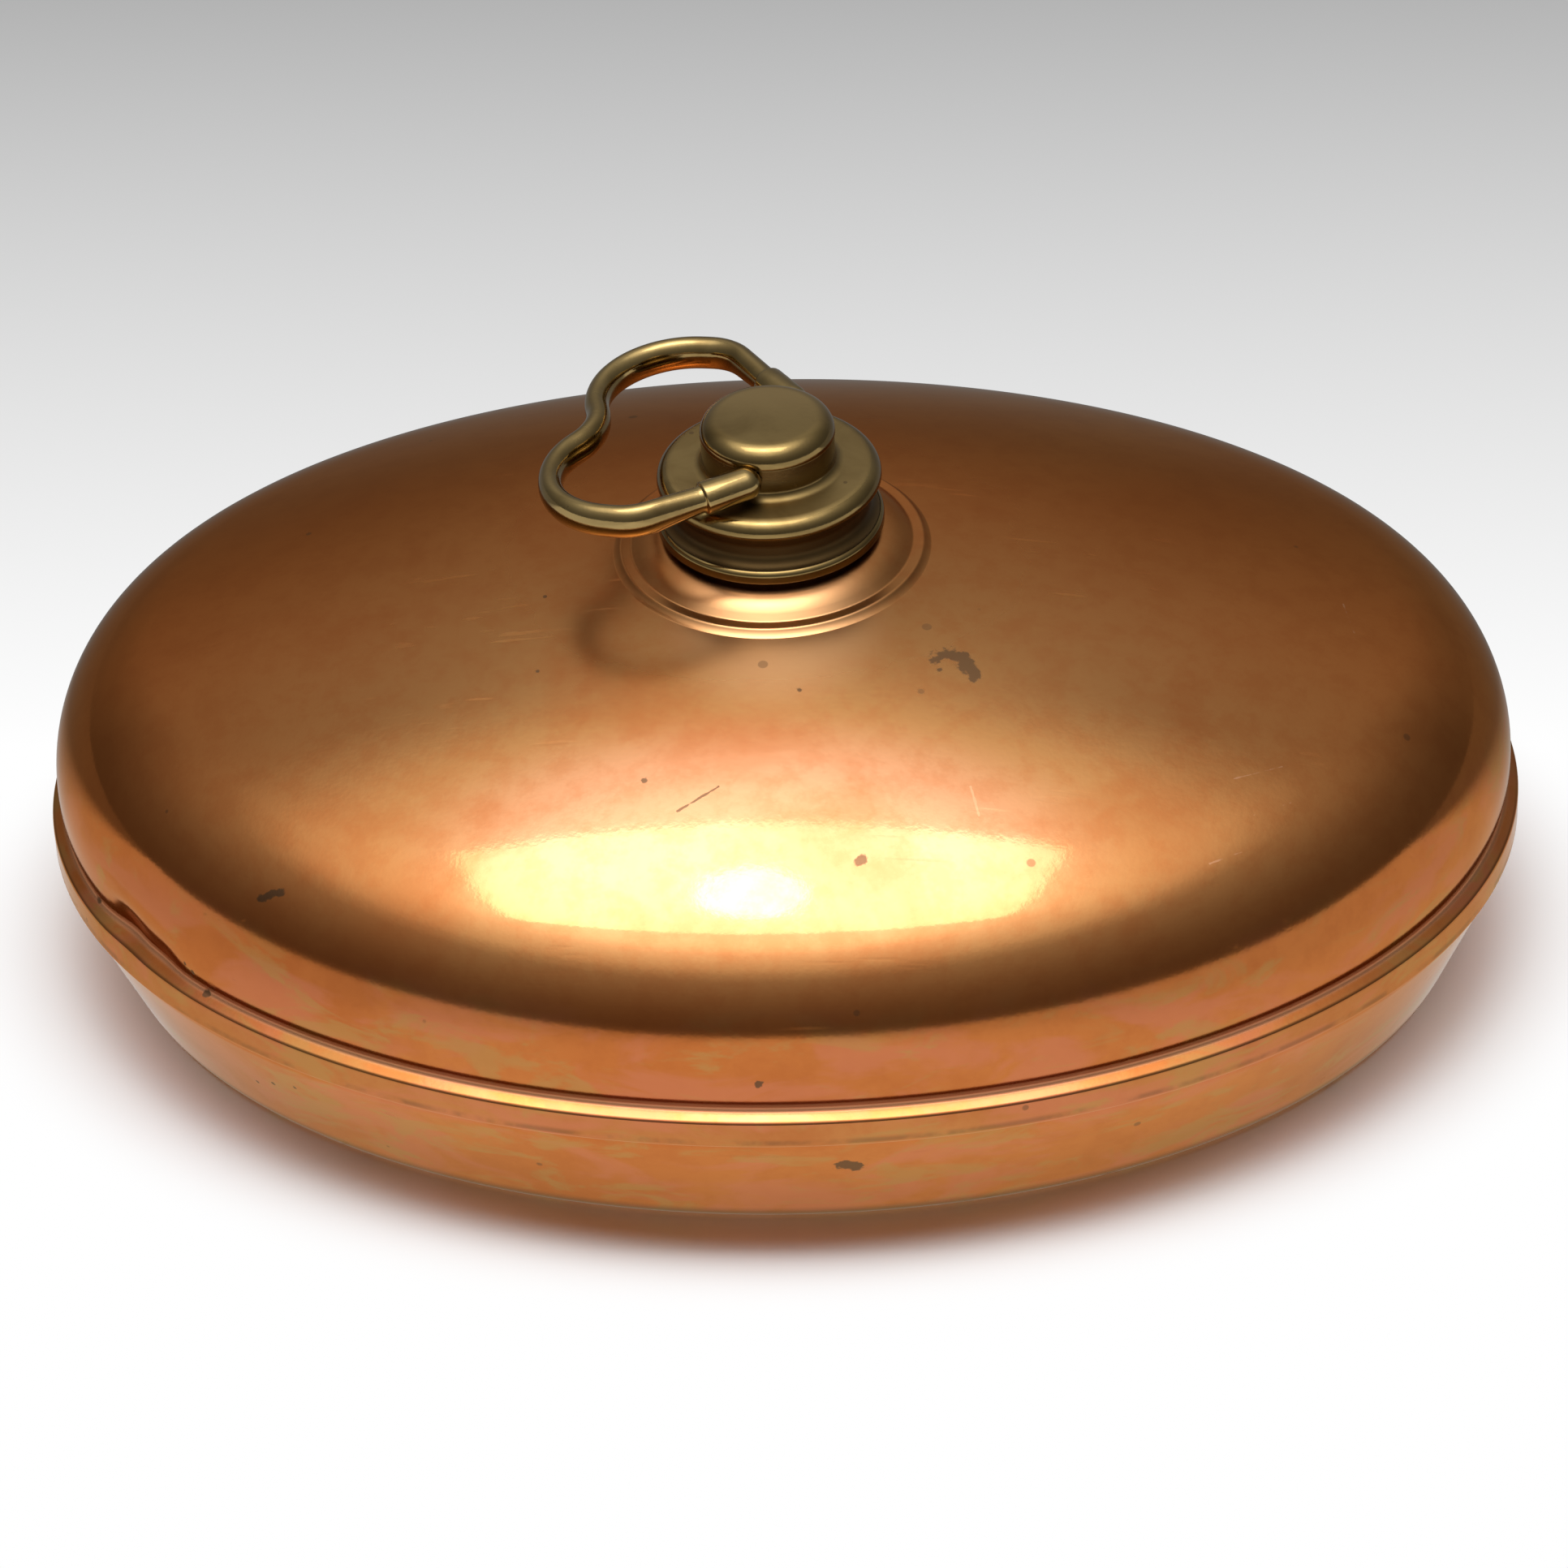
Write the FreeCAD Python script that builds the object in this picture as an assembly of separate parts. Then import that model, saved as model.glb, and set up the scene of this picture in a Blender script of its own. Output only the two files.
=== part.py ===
import FreeCAD, Part
import math
import os

# Copper hot water bottle: two pressed copper shells, lapped and soldered at the seam, a turned brass neck
# with a screw stopper, and a brass bail that swings on the stopper. Base on Z = 0, neck on the Z axis.

# Copper sheet and the oval plan of the body, measured over the seam
sheet = 0.8
body_length = 299.2
body_width = 222.9

# Lower shell: a tapered pan that stands on a flat ring round a slightly dished panel
wall_taper_angle = 22.5
knee_below_skirt = 1.2
knee_radius = 6.0
base_corner_radius = 5.0
standing_ring_width = 14.0
dish_depth = 1.2

# Lap seam: the skirt of the upper shell goes round the rim of the lower one, with solder between them
skirt_edge_height = 28.7
skirt_height = 5.7
rim_lap = 5.0
solder_film = 0.2
solder_clearance = 0.05
solder_setback = 0.5

# Shelf from the skirt in to the dome's wall, which bulges out again above it
shelf_width = 2.8
shelf_rise = 1.35
shelf_edge_radius = 1.0
shelf_corner_radius = 1.0
bulge = 1.0
bulge_height = 4.0
bulge_radius = 15.5

# Upper shell: upright wall, shoulder arc and crown arc, along and across the body
wall_height = 3.25
dome_rise = 48.5
shoulder_radius_along = 31.2
shoulder_radius_across = 30.0

# Embossed ring and boss round the filler hole, each from the one inside it
boss_flat_width = 4.95
boss_rise = 3.6
boss_run = 4.2
ledge_width = 2.2
riser_height = 1.4
riser_run = 1.3
edge_rounding = 0.7
boss_rounding = 10.0

# Filler neck
bore_radius = 15.3
tube_radius = 18.9
tube_fit = 0.05
tube_below_boss = 6.5
seat_radius = 20.0
seat_height = 1.4
collar_radius = 22.6
collar_height = 2.6
collar_shoulder = 0.6
waist_radius = 19.8
waist_rounding = 2.4
neck_rim_radius = 20.7
neck_rim_flare = 2.8
neck_rim_rounding = 0.4
neck_lead_in = 0.8
neck_height = 11.3
neck_solder_leg = 1.6

# Washer and screw stopper; the shank's plain cylinder stands at the thread's middle
washer_thickness = 2.0
washer_width = 4.9
washer_clearance = 0.3
washer_recess = 1.4
washer_rounding = 0.3
thread_clearance = 0.3
shank_length = 11.9
shank_chamfer = 1.2
flange_radius = 22.3
flange_thickness = 3.2
flange_rounding = 3.0
flange_slope = 0.3
stem_radius = 13.2
stem_height = 7.0
stem_fillet = 1.9

# Knob cap, a domed button pressed into the top of the stem
knob_radius = 13.4
knob_rim_height = 0.4
knob_rise = 4.2
knob_edge_radius = 3.9
spigot_radius = 5.5
spigot_length = 3.6
spigot_fit = 0.05
socket_relief = 0.5

# Bail: one wire, thinner towards its ends, with round knuckles, ball ends and pivot pins
bail_turn_angle = 15.0
bail_droop_angle = 5.5
pivot_above_flange = 4.9
pin_radius = 1.6
pin_fit = 0.05
pin_inner_end = 7.0
pin_end_clearance = 0.3
bail_end_clearance = 0.35
ball_from_stem = 2.0
knuckle_radius = 3.4
knuckle_length = 9.0
wire_width = 4.9
wire_depth = 7.0
wire_end_width = 5.1
wire_end_depth = 5.6
bail_half_width = 30.9
bail_widest_at = 21.4
bail_bend_radius = 10.5
flank_radius = 40.0
flank_angle = 4.5
lobe_radius = 16.6
notch_radius = 14.0

# Sections in each curved skin of the shells
bend_steps = 6
dome_steps = 12

# Heights and insets that follow from the sizes above
lap_gap = solder_film + 2 * solder_clearance
rim_inset = sheet + lap_gap
shelf_start = skirt_edge_height + skirt_height
shelf_end = shelf_start + shelf_rise
bulge_end = shelf_end + bulge_height
wall_inset = shelf_width - bulge
wall_start = bulge_end + bulge_radius * math.tan(math.atan2(bulge, bulge_height) / 2)
shoulder_start = bulge_end + wall_height
hole_radius = tube_radius + tube_fit
boss_radius = hole_radius + boss_flat_width
ledge_radius = boss_radius + boss_run
ring_radius = ledge_radius + ledge_width + riser_run
ring_height = shoulder_start + dome_rise
ledge_height = ring_height + riser_height
boss_height = ledge_height + boss_rise
collar_start = boss_height + seat_height
collar_end = collar_start + collar_height
neck_top = boss_height + neck_height
recess_top = neck_top + washer_thickness
flange_bottom = recess_top - washer_recess
flange_top = flange_bottom + flange_thickness
pivot_height = flange_top + pivot_above_flange
stem_top = flange_top + stem_height
shank_radius = bore_radius - thread_clearance
washer_inner_radius = shank_radius + washer_clearance
washer_outer_radius = washer_inner_radius + washer_width
ball_centre = stem_radius + ball_from_stem

ORIGIN = FreeCAD.Vector(0, 0, 0)
UP = FreeCAD.Vector(0, 0, 1)


def rounded_edges(corners, closed):
    """Lines and tangent arcs in the XZ plane through (radius, height, rounding) corners."""
    points = [FreeCAD.Vector(radius, 0, height) for radius, height, rounding in corners]
    arcs = []
    for i, (radius, height, rounding) in enumerate(corners):
        here = points[i]
        if rounding == 0:
            arcs.append((here, None, here))
            continue
        to_last = (points[i - 1] - here).normalize()
        to_next = (points[(i + 1) % len(points)] - here).normalize()
        half = to_last.getAngle(to_next) / 2
        tangent = rounding / math.tan(half)
        middle = here + (to_last + to_next).normalize() * (rounding / math.sin(half) - rounding)
        arcs.append((here + to_last * tangent, middle, here + to_next * tangent))
    edges = []
    for i, (start, middle, end) in enumerate(arcs):
        if middle is not None:
            edges.append(Part.Arc(start, middle, end).toShape())
        if i + 1 == len(arcs) and not closed:
            break
        next_start = arcs[(i + 1) % len(arcs)][0]
        edges.append(Part.LineSegment(end, next_start).toShape())
    return edges


def turned(corners):
    """Solid of revolution about the Z axis."""
    return Part.Face(Part.Wire(rounded_edges(corners, True))).revolve(ORIGIN, UP, 360)


def oval(half_length, half_width, height):
    """Level ellipse at a height, or a circle where both halves are alike."""
    centre = FreeCAD.Vector(0, 0, height)
    if half_length == half_width:
        return Part.Wire(Part.Circle(centre, UP, half_length).toShape())
    return Part.Wire(Part.Ellipse(centre, half_length, half_width).toShape())


def body_oval(inset, height):
    """The body's oval, drawn in by an inset."""
    return oval(body_length / 2 - inset, body_width / 2 - inset, height)


def skin(ovals):
    """Faces through level ovals, straight between two and smooth through more."""
    return Part.makeLoft(ovals, False, len(ovals) == 2).Faces


def level_ring(outer, inner):
    """Flat face between two ovals at one height."""
    return Part.Face(outer).cut(Part.Face(inner)).Faces


def sewn(faces):
    """Solid from faces that meet edge to edge."""
    shell = Part.makeShell(faces)
    shell.sewShape()
    solid = Part.makeSolid(shell)
    if solid.Volume < 0:
        solid.reverse()
    return solid


def arc_sections(centre_inset, centre_height, radius, start_angle, end_angle):
    """Ovals along an arc of the wall's profile; an angle of 0 points out of the body."""
    ovals = []
    for i in range(bend_steps + 1):
        angle = math.radians(start_angle + (end_angle - start_angle) * i / bend_steps)
        inset = centre_inset - radius * math.cos(angle)
        ovals.append(body_oval(inset, centre_height + radius * math.sin(angle)))
    return ovals


def sheet_shift(depth):
    """Sideways step of a 45 degree slope that is lowered through the sheet."""
    return depth * math.tan(math.radians(22.5))


def pan_skin(depth):
    """Skin of the lower shell at a depth through the sheet, and its oval at the rim."""
    taper = math.radians(wall_taper_angle)
    knee_height = skirt_edge_height - knee_below_skirt
    knee_tangent = knee_radius * math.tan(taper / 2)
    corner_tangent = base_corner_radius * math.tan((math.pi / 2 - taper) / 2)
    base_inset = rim_inset + knee_height * math.tan(taper) + corner_tangent
    rim = body_oval(rim_inset + depth, skirt_edge_height + rim_lap)
    knee = arc_sections(
        rim_inset + knee_radius, knee_height + knee_tangent, knee_radius - depth, 0, -wall_taper_angle)
    corner = arc_sections(base_inset, base_corner_radius, base_corner_radius - depth, -wall_taper_angle, -90)
    dish_inset = base_inset + standing_ring_width - sheet_shift(depth)
    dish_foot = body_oval(dish_inset, depth)
    panel = body_oval(dish_inset + dish_depth, depth + dish_depth)
    faces = skin([rim, knee[0]]) + skin(knee) + skin([knee[-1], corner[0]]) + skin(corner)
    faces += level_ring(corner[-1], dish_foot) + skin([dish_foot, panel]) + [Part.Face(panel)]
    return faces, rim


def make_lower_shell():
    """Pressed copper pan, open at its rim."""
    outside, outer_rim = pan_skin(0)
    inside, inner_rim = pan_skin(sheet)
    return sewn(outside + inside + level_ring(outer_rim, inner_rim))


def make_seam_solder():
    """Film of soft solder in the lap between skirt and rim."""
    low = skirt_edge_height + solder_setback
    high = skirt_edge_height + rim_lap - solder_setback
    outer = sheet + solder_clearance
    inner = outer + solder_film
    sides = [[body_oval(inset, height) for height in (low, high)] for inset in (outer, inner)]
    faces = skin(sides[0]) + skin(sides[1])
    for end in (0, 1):
        faces += level_ring(sides[0][end], sides[1][end])
    return sewn(faces)


def crown_arc(wall_half, shoulder_radius):
    """Radius and centre height of the crown arc that runs into the shoulder arc and passes through the ring.

    The crown's centre is on the Z axis; the shoulder's is level with the wall's top.
    """
    shoulder_centre = wall_half - shoulder_radius
    slope = -dome_rise / shoulder_radius
    level = shoulder_radius**2 + ring_radius**2 - shoulder_centre**2 + ring_height**2 - shoulder_start**2
    level = level / (2 * shoulder_radius)
    a = slope**2 - 1
    b = 2 * (level * slope + ring_height)
    c = level**2 - ring_radius**2 - ring_height**2
    centre = (-b - math.sqrt(b * b - 4 * a * c)) / (2 * a)
    return math.hypot(ring_radius, ring_height - centre), centre


def dome_half(height, wall_half, shoulder_radius, depth):
    """Half-width of the dome at a height, at a depth through the sheet."""
    crown_radius, crown_centre = crown_arc(wall_half, shoulder_radius)
    shoulder_centre = wall_half - shoulder_radius
    to_shoulder = (shoulder_start - crown_centre) / (crown_radius - shoulder_radius)
    shoulder_end = shoulder_start + (shoulder_radius - depth) * to_shoulder
    if height <= shoulder_start:
        return wall_half - depth
    if height <= shoulder_end:
        return shoulder_centre + math.sqrt((shoulder_radius - depth) ** 2 - (height - shoulder_start) ** 2)
    return math.sqrt((crown_radius - depth) ** 2 - (height - crown_centre) ** 2)


def dome_ovals(depth):
    """Wall, shoulder and crown up to the ring, closer spaced towards the flat crown."""
    half_length = body_length / 2 - wall_inset
    half_width = body_width / 2 - wall_inset
    heights = [wall_start, (wall_start + shoulder_start) / 2]
    for i in range(dome_steps):
        climb = math.sin(math.pi / 2 * i / dome_steps)
        heights.append(shoulder_start + (dome_rise - depth) * climb)
    ovals = []
    for height in heights:
        along = dome_half(height, half_length, shoulder_radius_along, depth)
        across = dome_half(height, half_width, shoulder_radius_across, depth)
        ovals.append(oval(along, across, height))
    foot = ring_radius - sheet_shift(depth)
    ovals.append(oval(foot, foot, ring_height - depth))
    return ovals


def boss_outline(depth):
    """Corners of the embossed ring and boss at a depth through the sheet, from dome to filler hole."""
    shift = sheet_shift(depth)
    return [
        (ring_radius - shift, ring_height - depth, 0),
        (ledge_radius + ledge_width - shift, ledge_height - depth, edge_rounding),
        (ledge_radius - shift, ledge_height - depth, edge_rounding),
        (boss_radius - shift, boss_height - depth, boss_rounding - depth),
        (hole_radius, boss_height - depth, 0),
    ]


def bent_skin(corners, depth):
    """Skin round the body along (inset, height, rounding) corners, at a depth through the sheet.

    The corners are those of the outside, from below. A bend that bulges out gets tighter through the sheet,
    and a hollow one gets wider. The skin ends with the last bend, which turns towards the last corner.
    """
    points = [FreeCAD.Vector(inset, height, 0) for inset, height, rounding in corners]
    runs = [(after - before).normalize() for before, after in zip(points, points[1:])]
    inward = [FreeCAD.Vector(run.y, -run.x, 0) for run in runs]
    edge = points[0] + inward[0] * depth
    ends = body_oval(edge.x, edge.y)
    first = ends
    faces = []
    for i in range(1, len(runs)):
        run, across = runs[i - 1], inward[i - 1]
        turn = math.atan2(run.cross(runs[i]).z, run.dot(runs[i]))
        hollow = math.copysign(1, turn)
        radius = corners[i][2] + depth * hollow
        corner = points[i] + (across + inward[i]) * (depth / (1 + across.dot(inward[i])))
        start = corner - run * (radius * math.tan(abs(turn) / 2))
        bend = []
        for step in range(bend_steps + 1):
            angle = abs(turn) * step / bend_steps
            drawn_in = across * (hollow * radius * (math.cos(angle) - 1))
            point = start + run * (radius * math.sin(angle)) + drawn_in
            bend.append(body_oval(point.x, point.y))
        faces += skin([ends, bend[0]]) + skin(bend)
        ends = bend[-1]
    return faces, first


def seam_corners():
    """Outside of the skirt, the shelf and the bulging wall above it."""
    return [
        (0, skirt_edge_height, 0),
        (0, shelf_start, shelf_edge_radius),
        (shelf_width, shelf_end, shelf_corner_radius),
        (wall_inset, bulge_end, bulge_radius),
        (wall_inset, shoulder_start, 0),
    ]


def make_upper_shell():
    """Pressed copper dome with skirt, shelf, embossed ring, boss and filler hole."""
    faces = []
    edges = []
    for depth in (0, sheet):
        seam_faces, edge = bent_skin(seam_corners(), depth)
        faces += seam_faces + skin(dome_ovals(depth))
        edges.append(edge)
    collar_profile = boss_outline(0) + boss_outline(sheet)[::-1]
    for edge in rounded_edges(collar_profile, False):
        faces += edge.revolve(ORIGIN, UP, 360).Faces
    return sewn(faces + level_ring(edges[0], edges[1]))


def make_filler_neck():
    """Turned brass neck: tube through the shell, seat, collar, waist and rim round the threaded bore."""
    tube_end = boss_height - tube_below_boss
    return turned([
        (bore_radius, tube_end, 0),
        (tube_radius, tube_end, neck_rim_rounding),
        (tube_radius, boss_height, 0),
        (seat_radius, boss_height, 0),
        (seat_radius, collar_start, 0),
        (collar_radius, collar_start, neck_rim_rounding),
        (collar_radius, collar_end, collar_height / 2),
        (waist_radius, collar_end + collar_shoulder, waist_rounding),
        (waist_radius, neck_top - neck_rim_flare, waist_rounding),
        (neck_rim_radius, neck_top, neck_rim_rounding),
        (bore_radius + neck_lead_in, neck_top, 0),
        (bore_radius, neck_top - neck_lead_in, 0),
    ])


def make_neck_solder():
    """Fillet of soft solder between the neck's tube and the underside of the boss."""
    top = boss_height - sheet - solder_clearance
    return turned([
        (hole_radius, top, 0),
        (hole_radius + neck_solder_leg, top, 0),
        (hole_radius + neck_solder_leg / 3, top - neck_solder_leg / 3, neck_solder_leg / 2),
        (hole_radius, top - neck_solder_leg, 0),
    ])


def make_stopper_washer():
    """Leather washer in the recess under the flange, seated on the neck's rim."""
    return turned([
        (washer_inner_radius, neck_top, washer_rounding),
        (washer_outer_radius, neck_top, washer_rounding),
        (washer_outer_radius, recess_top, washer_rounding),
        (washer_inner_radius, recess_top, washer_rounding),
    ])


def pivot_direction():
    """Pivot axis of the bail, level, from front to back."""
    turn = math.radians(bail_turn_angle)
    return FreeCAD.Vector(math.sin(turn), math.cos(turn), 0)


def pivot_holes():
    """Two blind holes across the stem for the bail's pins."""
    pivot = FreeCAD.Vector(0, 0, pivot_height)
    direction = pivot_direction()
    start = pin_inner_end - pin_end_clearance
    length = stem_radius + stem_fillet - start
    holes = []
    for side in (direction, -direction):
        holes.append(Part.makeCylinder(pin_radius + pin_fit, length, pivot + side * start, side))
    return holes


def make_stopper_body():
    """Turned brass stopper: shank, recessed flange with rounded edge, filleted stem with a socket."""
    socket_floor = stem_top - spigot_length - socket_relief
    shank_end = flange_bottom - shank_length
    body = turned([
        (0, shank_end, 0),
        (shank_radius - shank_chamfer, shank_end, 0),
        (shank_radius, shank_end + shank_chamfer, 0),
        (shank_radius, recess_top, 0),
        (washer_outer_radius + washer_clearance, recess_top, 0),
        (washer_outer_radius + washer_clearance, flange_bottom, 0),
        (flange_radius, flange_bottom, 0),
        (flange_radius, flange_top, flange_rounding),
        (stem_radius, flange_top + flange_slope, stem_fillet),
        (stem_radius, stem_top, 0),
        (spigot_radius + spigot_fit, stem_top, 0),
        (spigot_radius + spigot_fit, socket_floor, 0),
        (0, socket_floor, 0),
    ])
    return body.cut(pivot_holes())


def make_knob_cap():
    """Domed brass button: crown arc, rounded edge, thin rim and a spigot that goes into the stem."""
    rim_top = stem_top + knob_rim_height
    edge_centre = knob_radius - knob_edge_radius
    crown_over_edge = knob_rise - knob_edge_radius
    crown_radius = (edge_centre**2 + knob_rise**2 - knob_edge_radius**2) / (2 * crown_over_edge)
    crown_centre = rim_top + knob_rise - crown_radius
    lean = math.atan2(edge_centre, rim_top - crown_centre)

    def on_edge(angle):
        return FreeCAD.Vector(
            edge_centre + knob_edge_radius * math.sin(angle), 0, rim_top + knob_edge_radius * math.cos(angle))

    def on_crown(angle):
        return FreeCAD.Vector(
            crown_radius * math.sin(angle), 0, crown_centre + crown_radius * math.cos(angle))

    corners = [
        on_crown(0),
        FreeCAD.Vector(0, 0, stem_top - spigot_length),
        FreeCAD.Vector(spigot_radius, 0, stem_top - spigot_length),
        FreeCAD.Vector(spigot_radius, 0, stem_top),
        FreeCAD.Vector(knob_radius, 0, stem_top),
        on_edge(math.pi / 2),
    ]
    outline = [Part.LineSegment(a, b).toShape() for a, b in zip(corners, corners[1:])]
    outline.append(Part.Arc(on_edge(math.pi / 2), on_edge((math.pi / 2 + lean) / 2), on_edge(lean)).toShape())
    outline.append(Part.Arc(on_crown(lean), on_crown(lean / 2), on_crown(0)).toShape())
    return Part.Face(Part.Wire(outline)).revolve(ORIGIN, UP, 360)


def bail_frame():
    """Pivot point, pivot axis, the way the bail reaches out, and the normal of its plane."""
    along = pivot_direction()
    level = UP.cross(along)
    droop = math.radians(bail_droop_angle)
    reach = level * math.cos(droop) - UP * math.sin(droop)
    return FreeCAD.Vector(0, 0, pivot_height), along, reach, along.cross(reach)


def bail_half_path():
    """Bends of half the bail as (centre, radius, start angle, end angle), from the knuckle to the notch.

    Angles are in the bail's plane, from the pivot axis towards the reach; the last bend turns the other way.
    """
    bend = (bail_half_width - bail_bend_radius, bail_widest_at)
    to_knuckle = (ball_centre - bend[0], -bend[1])
    tangent_turn = math.acos(bail_bend_radius / math.hypot(*to_knuckle))
    bend_start = math.atan2(to_knuckle[1], to_knuckle[0]) + tangent_turn
    flank = (bail_half_width - flank_radius, bail_widest_at)
    turn = math.radians(flank_angle)
    inward = flank_radius - lobe_radius
    lobe = (flank[0] + inward * math.cos(turn), flank[1] + inward * math.sin(turn))
    centres = lobe_radius + notch_radius
    notch = (0, lobe[1] + math.sqrt(centres**2 - lobe[0] ** 2))
    lobe_end = math.atan2(notch[1] - lobe[1], -lobe[0])
    return [
        (bend, bail_bend_radius, bend_start, 0),
        (flank, flank_radius, 0, turn),
        (lobe, lobe_radius, turn, lobe_end),
        (notch, notch_radius, lobe_end - math.pi, -math.pi / 2),
    ]


def make_bail_handle():
    """Brass wire bent to two lobes and a notch, with tapered runs, knuckles, ball ends and pins."""
    pivot, along, reach, normal = bail_frame()
    bends = bail_half_path()

    def on_bend(bend, angle, side):
        centre, radius = bend[:2]
        across = centre[0] + radius * math.cos(angle)
        return pivot + along * (across * side) + reach * (centre[1] + radius * math.sin(angle))

    def section(centre, tangent, width, depth):
        across = normal.cross(tangent)
        ellipse = Part.Ellipse(centre + normal * (depth / 2), centre + across * (width / 2), centre)
        return Part.Wire(ellipse.toShape())

    bows = []
    for bend in bends:
        angles = (bend[2], (bend[2] + bend[3]) / 2, bend[3])
        bows.append([on_bend(bend, angle, 1) for angle in angles])
    for bend in reversed(bends):
        angles = (bend[3], (bend[2] + bend[3]) / 2, bend[2])
        bows.append([on_bend(bend, angle, -1) for angle in angles])
    path = Part.Wire([Part.Arc(*points).toShape() for points in bows])

    flat = stem_radius + bail_end_clearance
    stem_room = Part.makeCylinder(knuckle_length, 2 * flat, pivot - along * flat, along)
    pieces = []
    for side, run_end in ((1, bows[0][0]), (-1, bows[-1][2])):
        outward = along * side
        ball = pivot + outward * ball_centre
        out = (run_end - ball).normalize()
        knuckle_end = ball + out * knuckle_length
        run_sections = [
            section(knuckle_end, out, wire_end_width, wire_end_depth),
            section(run_end, out, wire_width, wire_depth),
        ]
        knuckle = Part.makeCylinder(knuckle_radius, knuckle_length, ball, out)
        pieces.append(Part.makeSphere(knuckle_radius, ball).fuse(knuckle).cut(stem_room))
        pieces.append(Part.makeLoft(run_sections, True, True))
        pin_start = pivot + outward * pin_inner_end
        pieces.append(Part.makeCylinder(pin_radius, ball_centre - pin_inner_end, pin_start, outward))
    first_tangent = (bows[0][0] - pivot - along * ball_centre).normalize()
    wire = path.makePipeShell([section(bows[0][0], first_tangent, wire_width, wire_depth)], True, False)
    return wire.fuse(pieces).removeSplitter()


MAKERS = {
    "lower_shell": make_lower_shell,
    "upper_shell": make_upper_shell,
    "seam_solder": make_seam_solder,
    "filler_neck": make_filler_neck,
    "neck_solder": make_neck_solder,
    "stopper_washer": make_stopper_washer,
    "stopper_body": make_stopper_body,
    "knob_cap": make_knob_cap,
    "bail_handle": make_bail_handle,
}

os.makedirs("parts", exist_ok=True)
for node, make in MAKERS.items():
    shape = make()
    box = shape.BoundBox
    print(node, len(shape.Solids), "solid", shape.isValid(), "valid", round(shape.Volume, 1), "mm3",
          [round(v, 2) for v in (box.XMin, box.XMax, box.YMin, box.YMax, box.ZMin, box.ZMax)])
    shape.exportStep(f"parts/{node}.step")
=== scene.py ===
import math

import bmesh
import bpy
from mathutils import Matrix, Vector


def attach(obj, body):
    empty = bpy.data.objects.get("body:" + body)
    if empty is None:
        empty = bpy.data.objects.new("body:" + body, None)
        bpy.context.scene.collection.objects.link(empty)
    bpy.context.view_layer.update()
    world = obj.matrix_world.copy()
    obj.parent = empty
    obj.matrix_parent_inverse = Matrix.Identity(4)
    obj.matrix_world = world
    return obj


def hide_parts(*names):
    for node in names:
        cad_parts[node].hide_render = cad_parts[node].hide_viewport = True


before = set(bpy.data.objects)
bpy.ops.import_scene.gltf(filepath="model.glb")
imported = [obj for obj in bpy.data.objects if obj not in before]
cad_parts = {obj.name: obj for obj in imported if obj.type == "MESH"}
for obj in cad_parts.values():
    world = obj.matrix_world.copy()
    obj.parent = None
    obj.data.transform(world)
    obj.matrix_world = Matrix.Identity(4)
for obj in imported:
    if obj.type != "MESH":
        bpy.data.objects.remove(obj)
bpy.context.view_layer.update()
bpy.context.scene.view_settings.view_transform = "Standard"

# Lower pan: the bottom half of the bottle, pressed from thin copper sheet, with a tapered wall, a flat ring
# that it stands on and a slightly dished panel. Its plain rim goes up inside the skirt of the upper half. The
# copper is satin from years of rubbing, with pink and yellow patches where heat has tinted it.
MM = 0.001
SHEET = 0.8
BODY_HALF_LENGTH = 149.6
BODY_HALF_WIDTH = 111.45
SHELL_SIDES = 320
RIM_INSET = 1.1
RIM_TOP = 33.7
KNEE_HEIGHT = 27.5
KNEE_RADIUS = 6.0
WALL_TAPER = math.radians(22.5)
BASE_INSET = RIM_INSET + KNEE_HEIGHT * math.tan(WALL_TAPER)
BASE_CORNER_RADIUS = 5.0
STANDING_RING_WIDTH = 14.0
DISH_INSET = BASE_INSET + BASE_CORNER_RADIUS * math.tan((math.pi / 2 - WALL_TAPER) / 2) + STANDING_RING_WIDTH
DISH_DEPTH = 1.2
DISH_ROUNDING = 0.8
COPPER = (0.56, 0.165, 0.040, 1)
COPPER_GOLDEN = (0.60, 0.200, 0.052, 1)
COPPER_RED = (0.46, 0.122, 0.030, 1)
# Fresh pale copper shows in the scratches, and is also painted as light along the skirt's edge and in the
# crease above the shelf.
COPPER_FRESH_AND_LIT = (0.74, 0.36, 0.19, 1)
HEAT_PINK = (0.62, 0.200, 0.095, 1)
HEAT_YELLOW = (0.50, 0.250, 0.075, 1)
# The worn tone is real wear on the skirt's band. On the front of the dome, where the softbox reflects, it is
# a paler golden patch that is a painted highlight.
COPPER_WORN_AND_SHEEN = (0.51, 0.243, 0.084, 1)
SHEEN_MIDDLE = Vector((0, -62, 80)) * MM
SHEEN_SCALE = Vector((0.62, 1, 1))
# Whiter copper in the middle of the softbox's reflection on the dome is a painted highlight.
COPPER_PAINTED_HIGHLIGHT = (0.60, 0.28, 0.14, 1)
PAINTED_HIGHLIGHT_MIDDLE = Vector((0, -76, 78)) * MM
PAINTED_HIGHLIGHT_SCALE = Vector((0.38, 1, 1))
# Lighter copper on the front of the boss, where its highlight falls, is a painted highlight.
COPPER_BOSS_HIGHLIGHT = (0.76, 0.40, 0.18, 1)
COPPER_AT_EDGE = (0.85, 0.75, 0.60, 1)
BOSS_HIGHLIGHT_MIDDLE = Vector((2, -28, 94)) * MM
# The stain brown is real dirt on the metal. On the copper it is also painted shade at the foot and in the
# dent.
STAIN_AND_SHADE_BROWN = (0.13, 0.075, 0.04, 1)
# Bands of heights on the copper as (fade in, fade out, strength), in millimetres.
SKIRT_WEAR = ((28.4, 28.8), (34.4, 35.2), 0.4)
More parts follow.
